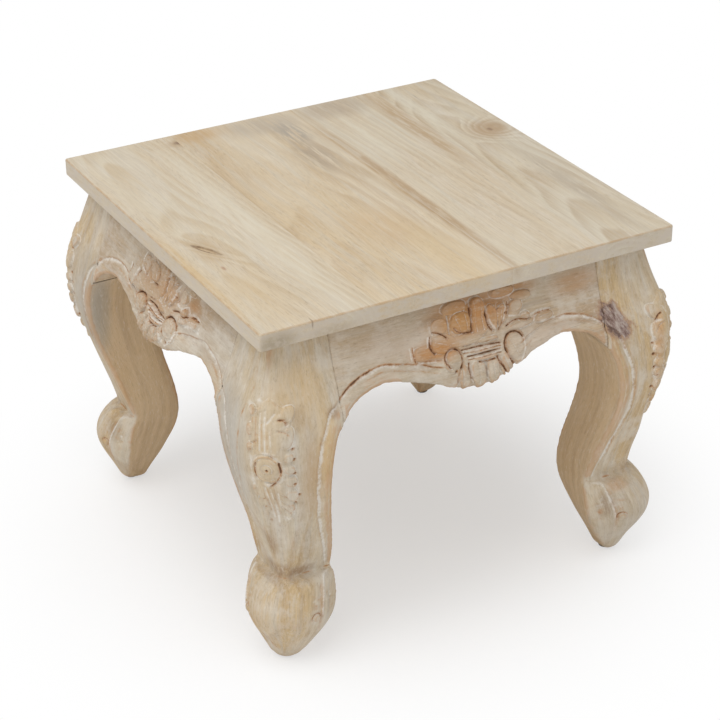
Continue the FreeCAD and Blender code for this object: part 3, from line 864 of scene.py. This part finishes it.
LEG_TONES = ((202, 188, 164), (204, 178, 136), (160, 126, 86), (186, 177, 164))
KNEE_YELLOW = (206, 174, 124)
COOL_GREY = (180, 174, 164)
STREAK_BROWN = (150, 118, 88)
EVERY_KNEE = tuple(
    ((x, y, 255), (28, 28, 66), KNEE_YELLOW, 0.8, 0.3)
    for x, y in ((212, -212), (-212, -212), (-212, 212), (212, 212))
)
LEG_STAINS = EVERY_KNEE + (
    ((-190, -222, 310), (34, 30, 44), KNEE_YELLOW, 0.55, 0.35),
    ((-165, -232, 250), (14, 30, 60), KNEE_YELLOW, 0.5, 0.35),
    ((-234, -160, 230), (16, 60, 150), COOL_GREY, 0.75, 0.3),
    ((-234, 160, 220), (16, 70, 150), COOL_GREY, 0.7, 0.4),
    ((-190, -232, 288), (9, 20, 16), (178, 152, 118), 0.6, 0.3),
    ((-182, -228, 228), (17, 24, 60), (186, 154, 112), 0.75, 0.3),
    ((-203, -203, 155), (8, 8, 22), STREAK_BROWN, 0.6, 0.6),
    ((-200, -197, 106), (26, 26, 15), STREAK_BROWN, 0.6, 0.8),
    ((203, -203, 106), (24, 24, 12), STREAK_BROWN, 0.4, 0.8),
    ((-203, 203, 106), (24, 24, 12), STREAK_BROWN, 0.4, 0.8),
    ((-156, -232, 284), (9, 20, 8), STREAK_BROWN, 0.7, 0.3),
    ((190, -200, 60), (44, 44, 44), (164, 152, 136), 0.65, 0.4),
    ((-222, 165, 235), (14, 40, 70), (160, 152, 138), 0.7, 0.2),
    ((207, -236, 262), (9, 9, 60), (198, 154, 108), 0.7, 0.5),
    ((165, -222, 75), (14, 13, 19), (142, 118, 94), 0.65, 0.7),
    ((180, -218, 93), (17, 15, 8), (186, 148, 112), 0.6, 0.5),
    ((-214, 166, 80), (13, 16, 18), (146, 124, 100), 0.6, 0.7),
    ((-212, -203, 135), (9, 9, 30), STREAK_BROWN, 0.6, 0.7),
    ((-180, -207, 104), (18, 12, 8), STREAK_BROWN, 0.6, 0.7),
    ((-182, 150, 135), (22, 22, 70), (206, 182, 148), 0.5, 0.4),
)
BARK_PLACE = ((159, -228, 293), (13, 60, 25), math.radians(33))
leg_wood = limed_wood(
    "limed_leg", "leg", (30, 0.05, 40), LEG_TONES, gap=9.0, ring=0.4, film=0.5, stains=LEG_STAINS,
    carved=True, bark=BARK_PLACE,
)
for corner, leg in legs.items():
    make_active(leg)
    bpy.ops.object.shade_smooth_by_angle(angle=CREASE)
    dress(leg, leg_wood)
    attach(leg, "root")
    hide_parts("leg_" + corner)

# Aprons: four swelled rails between the legs, arched below, tenoned into the posts and glued.
# The middle of each is carved with a cartouche of petals, volutes, reeds and a hanging shell.
# The wood is the legs', with the grain along the rail and a warmer heart in the carving.
PETALS = (
    ((-35, 333), (9.8, 8.0), 0, 3.0, -1.0), ((-16, 345), (15, 6.5), 0, 2.0, 0.6),
    ((-12, 331), (12.4, 10.5), 0, 2.8, 1.7), ((9, 340), (8.6, 10), 0, 3.4, 1.2),
    ((8.5, 326), (9.2, 12), 0, 2.9, 0.6), ((38, 349), (14, 5.5), 0, 2.0, 0.7),
    ((58, 341), (13, 5), -8, 1.5, 0.5), ((50, 333), (8.5, 6.5), 10, 2.4, -0.6),
    ((58, 321), (7, 5.2), 8, 3.0, 1.2), ((80, 317), (11.5, 5), 4, 2.5, 1.0),
    ((50, 314), (22, 4.2), 8, 2.1, 0.5), ((-33, 316), (14.5, 9.5), 0, 2.5, 0.8),
    ((-12, 315), (26, 6), 0, 2.4, 0.3), ((-56, 312), (9.5, 8), 0, 2.5, -0.6),
    ((14, 310), (15, 3), -2, 2.9, 0.8), ((6.5, 302.3), (21, 2.8), -3, 3.0, 0.8),
    ((9, 295.2), (17, 2.9), -1, 2.9, 0.8), ((-17, 284), (7.4, 12), 10, 2.4, 1.5),
    ((-0.5, 283), (8.8, 12.5), 0, 2.8, 1.7), ((14.5, 283), (7.4, 12), -3, 2.7, 1.6),
    ((29, 286), (6.2, 11.5), -22, 2.8, 1.5),
)
POD_LEAVES = (((22.5, 341), (23, 315), 13), ((36, 338), (28.5, 316), 13))
POD_STEM = ((28, 339), (26.5, 328), (24.5, 317))
POD_LIP = arc((34, 336.5), (4.4, 2.4), 0, 360, 16)
VOLUTES = (((-25, 300), (12, 12), (9.2, 9.2)), ((42, 298), (14, 15), (10.6, 11.6)))
CARTOUCHE_CUTS = (
    ([(-18, 291), (-15.5, 297), (-15.5, 303), (-19, 308), (-25, 310), (-31, 308), (-34.5, 303),
     (-33, 297), (-29, 293)], 1.3, 2.4, 0.9),
    ([(53, 303), (50, 307.5), (44, 310), (38, 310), (33, 306.5), (31, 300), (32, 293), (35, 287),
     (40, 281.5)], 1.5, 2.6, 0.85), ([(-14, 306.5), (5, 306), (27, 303.3)], 1.1, 2.4, 0.9),
    ([(-9, 299.3), (26, 298.2)], 1.0, 2.0, 0.75), ([(-12, 309.8), (8, 309), (25, 307)], 0.7, 1.0, 0.5),
    ([(-13, 303), (8, 302.4), (27, 300.8)], 0.7, 1.0, 0.6),
    ([(-9, 296.3), (10, 295.6), (26, 295.2)], 0.7, 1.0, 0.55),
    ([(1, 292.5), (8, 290.5), (18, 291.5)], 1.2, 2.0, 0.75),
    ([(-15.5, 297), (-22, 287), (-24, 277)], 1.0, 1.6, 0.3),
    ([(-9, 293), (-9.8, 287), (-9, 279)], 1.2, 2.2, 0.75), ([(7, 290), (7.4, 277)], 1.0, 2.0, 0.4),
    ([(21.5, 292), (24.5, 284), (28.5, 277.5)], 1.4, 2.4, 0.9),
    ([(-42, 328.5), (-36, 326.5), (-32, 323.5), (-29, 320.5)], 1.2, 1.8, 0.7),
    ([(-20, 328), (-17, 324), (-11, 321.5), (0, 320)], 1.2, 1.8, 0.7),
    ([(0.2, 320), (0.6, 341)], 1.1, 1.8, 0.65), ([(-25.3, 324), (-25, 340)], 1.0, 1.4, 0.25),
    ([(16.5, 335), (17, 326), (18.5, 320.5), (21.5, 316)], 1.2, 1.8, 0.8),
    ([(33, 323), (30, 318), (28, 315)], 1.1, 1.6, 0.5),
    ([(42.5, 338), (42, 332), (40, 327)], 1.2, 1.8, 0.6),
    ([(37, 316), (44, 319), (52, 320), (60, 318), (64, 319.5)], 1.2, 1.8, 0.65),
    ([(68.5, 316), (70, 319.5), (76, 321.5), (88, 321)], 1.1, 1.6, 0.6),
    ([(-45, 324.5), (-47.3, 318), (-46.5, 312), (-43.5, 309)], 1.2, 1.8, 0.75),
    ([(-64, 320), (-65, 313), (-64, 306)], 1.1, 1.6, 0.7),
    ([(-64, 306), (-50, 304), (-38, 302)], 1.0, 1.4, 0.4),
)
PETAL_VEINS = (
    ((-18, 338), (-13, 324)), ((-7, 339), (-5, 324)), ((5, 347), (5, 320)), ((12, 347), (12.5, 320)),
    ((19, 336), (21.5, 320)), ((34, 334), (30.5, 321)), ((-42, 319), (-26, 313)),
    ((-17, 293), (-19, 275)), ((-1, 293), (-1, 274)), ((14, 292), (15, 274)), ((27, 293), (32, 279)),
    ((73, 317), (89, 319)), ((36, 306), (44, 290)),
)
CARTOUCHE_WHITE_LINES = (
    ((-45, 339), (-45.5, 331), (-43, 327)), ((-40, 326.8), (-33, 325), (-29, 322)),
    ((17.5, 338), (19, 326), (24, 315)), ((38, 339), (36, 328), (29, 316)),
    ((41, 325), (50, 323), (61, 326)), ((66, 321), (76, 323.5), (89, 322)),
    ((54, 302), (53, 292), (47, 285), (40, 279)), ((-65, 303.5), (-54, 304), (-43, 302)),
    ((-13, 304.8), (27, 302)), ((-12, 301), (27, 299.4)), ((-8, 297.8), (26, 296.7)),
    ((-9, 291), (-8, 279)), ((31, 288), (34, 279)), ((-48, 325), (-50, 317)), ((-67, 320), (-67, 309)),
    ((60, 311), (76, 314), (92, 313)),
)
CARVING_DEPTH = 1.4
CARTOUCHE_HOLE_RADIUS = 1.2
CARTOUCHE_MIDDLE = 8
CARTOUCHE_HALF = 88
CARTOUCHE_LOW = 262
CARTOUCHE_BACK = -196
CARTOUCHE_HOLES = ((-24.5, 289.5), (-43.5, 309), (37, 329), (42.5, 335))


# Cartouche: x runs along the apron, z up. Gives its height, the darkness of its cuts and the white on it.
def cartouche(x, z, hand):
    x, z = wander(x, z, 12.0, 0.6 + 0.5 * hand, 0.9 + hand)
    plate = pillow(x, z, (-3, 322), (64, 25), 0, 1.5, 0.5, 5)
    plate = np.maximum(plate, pillow(x, z, (8, 294), (58, 26), 0, 1.5, 0.3, 5))
    dark = np.zeros_like(x)
    for centre, radii, turn, rise, dome in PETALS:
        plate = np.maximum(plate, pillow(x, z, centre, radii, turn, rise, dome))
    for root, tip, width in POD_LEAVES:
        plate = np.maximum(plate, leaf(x, z, root, tip, width, 3.0, 0.9))
    plate += chased(x, z, POD_STEM, 1.0)[0] * 0.9
    plate += chased(x, z, POD_LIP, 0.9)[0] * 1.1
    for centre, ring, disc in VOLUTES:
        plate = np.maximum(plate, pillow(x, z, centre, ring, 0, 2.6, 0.5))
        plate = np.maximum(plate, pillow(x, z, centre, disc, 0, 3.0, 1.3))
    for path in PETAL_VEINS:
        plate -= chased(x, z, path, 0.8)[0] * 0.6
    for path, width, depth, shade in CARTOUCHE_CUTS:
        cut(plate, dark, x, z, path, width, depth, shade)
    for hole in CARTOUCHE_HOLES:
        drill(plate, dark, x, z, hole, CARTOUCHE_HOLE_RADIUS, 0.9)
    white = 0.3 * spot(x, z, (10, 301), (20, 9))
    for path in CARTOUCHE_WHITE_LINES:
        white = np.maximum(white, 0.7 * chased(x, z, path, 1.5)[0])
    return plate + 0.25 * step(plate, 0.5, 1.5) * chisel(x, z, 2.8, hand), dark, white


def on_cartouche(centres):
    on_front = (centres[:, 2] > CARTOUCHE_LOW) & (centres[:, 1] < CARTOUCHE_BACK)
    return (np.abs(centres[:, 0] - CARTOUCHE_MIDDLE) < CARTOUCHE_HALF) & on_front


# Which points of the apron lie in its joints, on the tenons or under the top
def apron_hidden(points):
    depth = -np.interp(points[:, 2], face_z, face_y) - ON_FACE
    inside = (-points[:, 1] < depth) & (points[:, 2] > ARCH_END + ON_FACE)
    ends = (np.abs(points[:, 0]) > JOINT_HALF - ON_JOINT) & inside
    return ends | (np.abs(points[:, 0]) > JOINT_HALF + ON_JOINT) | (points[:, 2] > FRAME_TOP - ON_TOP)


END_KEEP = 6
points = read_points(apron_blank) / MM
hidden = apron_hidden(points)
free = np.ones_like(points)
free[np.abs(points[:, 0]) > JOINT_HALF - END_KEEP] = 0
free[points[:, 2] > FRAME_TOP - ON_FACE, 2] = 0
sand(apron_blank, free * ~hidden[:, None], hidden)
refine(apron_blank, on_cartouche)
apron_points = read_points(apron_blank) / MM
apron_normals = read_points(apron_blank, "normal")
apron_normals[np.abs(apron_points[:, 0]) > JOINT_HALF - ON_JOINT, 0] = 0
apron_normals /= np.maximum(np.linalg.norm(apron_normals, axis=1), 0.01)[:, None]

# The left apron's carving sits a little towards the back and is cut more roughly, and the front apron has
# a dark split in its bead by the left joint
LEFT_SHIFT = 8.0
NICK_DEPTH = 0.55
JOINT_SPLIT = ((-152, 288), (-142, 299), (-126, 307), (-112, 310.5))
APRON_GOUGE_DEPTH = 0.3


def carve_apron(side, angle, hand):
    x, z = apron_points[:, 0], apron_points[:, 2]
    front = step(-apron_normals[:, 1], 0.25, 0.5)
    ripple = PLANE_DEPTH * chisel(x / 8, z, 2.4, hand) + APRON_GOUGE_DEPTH * chisel(x / 2, z, 7.0, hand + 2)
    height, dark, white = np.zeros((3, len(x)))
    near = on_cartouche(apron_points)
    shift = LEFT_SHIFT if side == "left" else 0
    height[near], dark[near], white[near] = cartouche(x[near] + shift, z[near], hand)
    if side == "left":
        # Rough nicks: painted shade in their dips and a painted highlight on their rises
        nicks = chisel(x / 0.6 + z, z / 1.6, 1.5, hand) * step(height, 1.0, 2.0)
        height += NICK_DEPTH * nicks
        dark = np.maximum(1.3 * dark, 0.5 * step(-nicks, 0.35, 0.8))
        white = np.maximum(1.4 * white, 0.6 * step(nicks, 0.4, 0.8))
    height *= CARVING_DEPTH
    roll, cove, line = bead(reach(x, z, bead_line) + 0.8 * chisel(x, z, 9.0, hand), z)
    plain = step(np.abs(x - 5), 36, 50)
    height = (np.maximum(height, roll * plain) + np.minimum(roll, 0) * plain + ripple) * front
    height[apron_hidden(apron_points)] = 0
    white = np.maximum(white, cove * plain * (0.35 + 0.25 * chisel(x, z, 14.0, hand))) * front
    dark = np.maximum(dark, line * plain * (0.4 + 0.35 * chisel(x, z, 18.0, hand + 1)))
    if side == "front":
        dark = np.maximum(dark, 0.75 * chased(x, z, JOINT_SPLIT, 2.2)[1])
    carved = apron_points + apron_normals * height[:, None]
    apron = turned_copy(apron_blank, "carved_apron_" + side, carved, angle)
    mark_relief(apron, white, dark * front, np.where(np.abs(x) > JOINT_HALF - SEAM_WIDTH, 0.0, 1.0))
    return apron


APRON_TURNS = {"front": 0, "right": 90, "back": 180, "left": 270}
aprons = {side: carve_apron(side, angle, hand) for hand, (side, angle) in enumerate(APRON_TURNS.items())}
bpy.data.objects.remove(apron_blank)
APRON_TONES = ((196, 182, 160), (194, 170, 138), (158, 124, 88), (180, 168, 154))
CARVING_ORANGE = (182, 126, 66)
CARVING_GOLD = (190, 146, 92)
FRONT_STAINS = (
    ((60, -222, 300), (60, 60, 30), (202, 186, 168), 0.6, 0.5),
    ((-88, -222, 328), (54, 60, 22), (194, 170, 146), 0.5, 0.5),
    ((0, -222, 338), (62, 60, 27), CARVING_ORANGE, 0.9, 0.3),
    ((-42, -222, 313), (34, 60, 13), CARVING_ORANGE, 0.9, 0.3),
    ((-16, -222, 334), (28, 60, 18), CARVING_GOLD, 0.5, 0.4),
    ((52, -222, 347), (34, 60, 12), CARVING_ORANGE, 0.7, 0.5),
    ((120, -222, 340), (40, 60, 16), (190, 150, 112), 0.7, 0.5),
    ((-13, 222, 330), (50, 60, 20), CARVING_ORANGE, 0.6, 0.6),
)
SIDE_STAINS = (
    ((-222, -15, 328), (60, 30, 16), CARVING_ORANGE, 0.55, 0.7),
    ((-222, -62, 326), (60, 20, 18), CARVING_ORANGE, 0.5, 0.8),
    ((222, -8, 325), (60, 56, 22), CARVING_ORANGE, 0.6, 0.6),
    ((-222, 6, 320), (60, 62, 34), (184, 150, 114), 0.6, 0.4),
)
rail_wood = limed_wood(
    "limed_rail_long", "x", (30, 0.04, 260), APRON_TONES, gap=9.0, ring=0.5, film=0.4, stains=FRONT_STAINS,
    carved=True, bark=BARK_PLACE,
)
side_wood = limed_wood(
    "limed_rail_side", "y", (60, 0.04, 250), APRON_TONES, gap=9.0, ring=0.5, film=0.6, stains=SIDE_STAINS,
    carved=True,
)
for side, apron in aprons.items():
    make_active(apron)
    bpy.ops.object.shade_smooth_by_angle(angle=CREASE)
    dress(apron, rail_wood if side in ("front", "back") else side_wood)
    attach(apron, "root")
    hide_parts("apron_" + side)

# Corner braces: four mitred bars of plain sawn wood inside the frame, glued and screwed behind the legs.
# They are left bare, darker and rougher than the limed wood outside.
BRACE_TONES = ((190, 160, 118), (182, 148, 104), (150, 114, 74), (168, 146, 116))
brace_wood = limed_wood("bare_brace", "x", (40, 0.03, 300), BRACE_TONES, gap=5.0, ring=0.6, film=0.05)
for corner in CORNER_TURNS:
    dress(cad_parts["corner_brace_" + corner], brace_wood)

# Top: four boards edge-glued with dowels, planed flat and limed, their grain running front to back.
# Each board has its own figure; the left one has a long open knot, the right one a swirl.
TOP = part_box("top_board_left")[1].z / MM
RIM = (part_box("top_board_left")[1].y / MM, TOP)
OPEN_KNOT = (-191, -47, TOP)
OPEN_KNOT_TURN = 26
OPEN_KNOT_RADII = (2.6, 16.0, 1.8)
BOARDS = {
    "top_board_left": dict(
        pith=(-178, 0.08, 340), gap=6.0, ring=0.5, film=0.35,
        tones=((208, 196, 174), (206, 190, 164), (188, 165, 131), (203, 193, 176)),
        knots=((OPEN_KNOT, 3.2, 5.2, -OPEN_KNOT_TURN),),
        stains=(
            ((-191, -46, TOP), (18, 36, 20), (182, 156, 122), 0.5, 0.4),
            ((-130, 0, TOP), (18, 260, 20), (216, 207, 187), 0.6, 0.5),
            ((-195, -160, TOP), (24, 80, 20), (207, 184, 146), 0.4, 0.5),
            ((-103, 201, TOP), (18, 14, 20), (168, 140, 108), 0.7, 0.5),
            ((-104, 202, TOP), (8, 6, 20), (116, 92, 74), 0.75, 0.4),
            ((-194, -90, TOP), (2.5, 6, 20), (160, 112, 84), 0.7, 0.6),
            ((-208, -227, 368), (30, 5, 14), (152, 136, 110), 0.75, 0.5),
            ((-172, -224, 378), (1.2, 7, 6), (120, 98, 80), 0.7, 0.3),
            ((-221, -90, TOP), (6, 130, 8), (200, 170, 122), 0.6, 0.6),
            ((-150, -227, 366), (40, 5, 8), (176, 158, 130), 0.6, 0.7),
        ),
    ),
    "top_board_mid_left": dict(
        pith=(-70, 0.06, 240), gap=9.0, ring=0.4, film=0.25,
        tones=((209, 194, 169), (206, 186, 154), (176, 148, 112), (200, 190, 172)),
        stains=(
            ((-20, -85, TOP), (42, 62, 20), (200, 174, 138), 0.6, 0.6),
            ((6, -170, TOP), (36, 90, 20), (208, 187, 152), 0.5, 0.5),
            ((-8, 200, TOP), (60, 32, 20), (176, 164, 148), 0.65, 0.5),
            ((12, 165, TOP), (24, 40, 20), (156, 148, 138), 0.75, 0.9),
            ((6, 98, TOP), (26, 64, 20), (166, 150, 130), 0.75, 0.9),
            ((22, 40, TOP), (16, 40, 20), (178, 156, 126), 0.5, 0.8),
            ((-80, 212, TOP), (40, 24, 20), (190, 158, 116), 0.7, 0.5),
            ((-108, 30, TOP), (9, 190, 20), (178, 154, 122), 0.6, 0.8),
            ((40, -20, TOP), (5, 300, 20), (172, 144, 110), 0.8, 0.6),
        ),
    ),
    "top_board_mid_right": dict(
        pith=(200, -0.03, 330), gap=7.0, ring=0.3, film=0.4,
        tones=((208, 196, 174), (206, 190, 165), (180, 156, 122), (203, 195, 179)),
        stains=(
            ((45, -40, TOP), (7, 300, 20), (172, 144, 110), 0.8, 0.6),
            ((133, 110, TOP), (16, 150, 20), (174, 146, 110), 0.75, 0.7),
            ((84, 205, TOP), (54, 36, 20), (174, 158, 138), 0.75, 0.5),
            ((78, 120, TOP), (9, 90, 20), (214, 205, 185), 0.7, 0.6),
        ),
    ),
    "top_board_right": dict(
        pith=(190, 0.1, 345), gap=7.0, ring=0.7, film=0.35,
        tones=((207, 197, 177), (204, 189, 163), (174, 151, 120), (200, 191, 176)),
        knots=(((199, 68, TOP), 9, 1.2, 0),),
        stains=(
            ((199, 70, TOP), (30, 30, 20), (176, 150, 120), 0.7, 0.5),
            ((195, -90, TOP), (14, 150, 20), (178, 165, 146), 0.7, 0.7),
            ((160, 150, TOP), (12, 130, 20), (213, 205, 186), 0.7, 0.6),
        ),
    ),
}
for node, figure in BOARDS.items():
    dress(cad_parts[node], limed_wood(node.replace("top_", "limed_"), "y", rim=RIM, **figure))

# The left board with its open knot: the frame's board, hollowed where the knot has shrunk
KNOT_CREASE = math.radians(35)
knotted = fresh("knotted_board_left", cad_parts["top_board_left"].data)
merge_points()
knot_place = [place * MM for place in OPEN_KNOT]
bpy.ops.mesh.primitive_uv_sphere_add(segments=48, ring_count=24, radius=1, location=knot_place)
hollow = bpy.context.object
hollow.scale = [radius * MM for radius in OPEN_KNOT_RADII]
hollow.rotation_euler = (0, 0, math.radians(OPEN_KNOT_TURN))
make_active(knotted)
apply_modifier(knotted, "BOOLEAN", operation="DIFFERENCE", object=hollow)
bpy.data.objects.remove(hollow)
bpy.ops.object.shade_smooth_by_angle(angle=KNOT_CREASE)
apply_modifier(knotted, "WEIGHTED_NORMAL", keep_sharp=True)
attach(knotted, "root")
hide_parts("top_board_left")

# Dowels: nine round birch pins across the joints of the boards.
# They are bare wood, glued in blind holes and hidden.
DOWEL_TONES = ((214, 190, 150), (208, 180, 136), (186, 152, 108), (200, 180, 150))
dowel_wood = limed_wood("birch_dowel", "x", (0, 0.02, 360), DOWEL_TONES, gap=2.0, ring=0.5, film=0.0)
dress(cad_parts["top_dowels"], dowel_wood)


# Screws and glides: wood screws that hold the corner braces, and a glide under each toe.
# Both are plated steel. The screws are driven from inside the frame, the glides nailed on from below.
def plated_steel(name, bright, dull):
    steel, shader, place = new_material(name)
    cloud = noise(place, (2, 2, 2), 4.0, 0.6)
    plug(tint(between(cloud, 0.35, 0.65), bright, dull), shader.inputs["Base Color"])
    plug(between(cloud, 0.3, 0.7, 0.5, 0.3), shader.inputs["Roughness"])
    shader.inputs["Metallic"].default_value = 1.0
    return steel


screw_steel = plated_steel("zinc_screw", paint(206, 196, 170), paint(168, 156, 128))
glide_steel = plated_steel("nickel_glide", paint(190, 188, 184), paint(140, 138, 134))
for name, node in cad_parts.items():
    if name.endswith("_screws"):
        dress(node, screw_steel)
    if name.startswith("glide_"):
        dress(node, glide_steel)

# Stage: a pale floor under a soft white dome of light, with one wide lamp overhead.
# The floor runs out to plain white and keeps the table's soft shadow.
FLOOR_SIDE = 30
SHADOW_FROM = 150
SHADOW_TO = 470
LEAST_GLOW = 0.36
WHITE = (1, 1, 1, 1)
bpy.ops.mesh.primitive_plane_add(size=FLOOR_SIDE)
floor = bpy.context.object
floor.name = "floor"
floor_paint, matt, place = new_material("floor_paint")
matt.inputs["Base Color"].default_value = (0.97, 0.97, 0.97, 1)
matt.inputs["Roughness"].default_value = 0.9
matt.inputs["Specular IOR Level"].default_value = 0.0
# Painted light: for the camera the floor glows white besides its lit colour, least near the table and fully
# beyond SHADOW_TO, which lightens the table's shadow and fades it out
glow = tool("Emission", {"Color": WHITE, "Strength": 1.0})
glow_share = between(vector("LENGTH", place), SHADOW_FROM, SHADOW_TO, 1.0, LEAST_GLOW)
glow_share = number("MULTIPLY", tool("LightPath", {}).outputs["Is Camera Ray"], glow_share)
lifted = tool("MixShader", {0: glow_share, 1: matt.outputs[0], 2: glow.outputs[0]})
plug(lifted.outputs[0], Bench.tree.nodes["Material Output"].inputs["Surface"])
dress(floor, floor_paint)

DOME_STRENGTH = 0.66
world = bpy.data.worlds.new("dome")
bpy.context.scene.world = world
world.use_nodes = True
Bench.tree = world.node_tree
sky = Bench.tree.nodes["Background"]
sky.inputs["Color"].default_value = WHITE
sky.inputs["Strength"].default_value = DOME_STRENGTH
backdrop = tool("Background", {"Color": WHITE, "Strength": 1.0})
rays = tool("LightPath", {}).outputs
seen = number("MAXIMUM", rays["Is Camera Ray"], rays["Is Glossy Ray"])
seen = number("MAXIMUM", seen, rays["Is Transmission Ray"])
choose = tool("MixShader", {0: seen, 1: sky.outputs[0], 2: backdrop.outputs[0]})
plug(choose.outputs[0], Bench.tree.nodes["World Output"].inputs["Surface"])

LAMP_PLACE = Vector((-0.9, -0.5, 2.3))
LAMP_AIM = Vector((0, 0, 0.2))
lamp_data = bpy.data.lights.new("overhead", "AREA")
lamp_data.shape = "SQUARE"
lamp_data.size = 1.8
lamp_data.energy = 25.5
lamp = bpy.data.objects.new("overhead", lamp_data)
bpy.context.scene.collection.objects.link(lamp)
lamp.location = LAMP_PLACE
lamp.rotation_euler = (LAMP_AIM - LAMP_PLACE).to_track_quat("-Z", "Y").to_euler()

# Camera: the photograph's view, found from the corners of the top and the feet.
# It stands to the front left, looks down by about 29 degrees and leans half a degree.
EYE = Vector((-0.93808, -1.69765, 1.25806))
LOOK = Vector((0.4233064, 0.7658715, -0.4839964))
LEAN = 0.559
camera_data = bpy.data.cameras.new("camera")
camera_data.sensor_width = 36
camera_data.lens = 105.54
camera = bpy.data.objects.new("camera", camera_data)
bpy.context.scene.collection.objects.link(camera)
level = LOOK.to_track_quat("-Z", "Y").to_matrix().to_4x4()
camera.matrix_world = Matrix.Translation(EYE) @ Matrix.Rotation(math.radians(LEAN), 4, LOOK) @ level
bpy.context.scene.camera = camera
bpy.context.scene.view_settings.view_transform = "Standard"

bpy.context.view_layer.update()
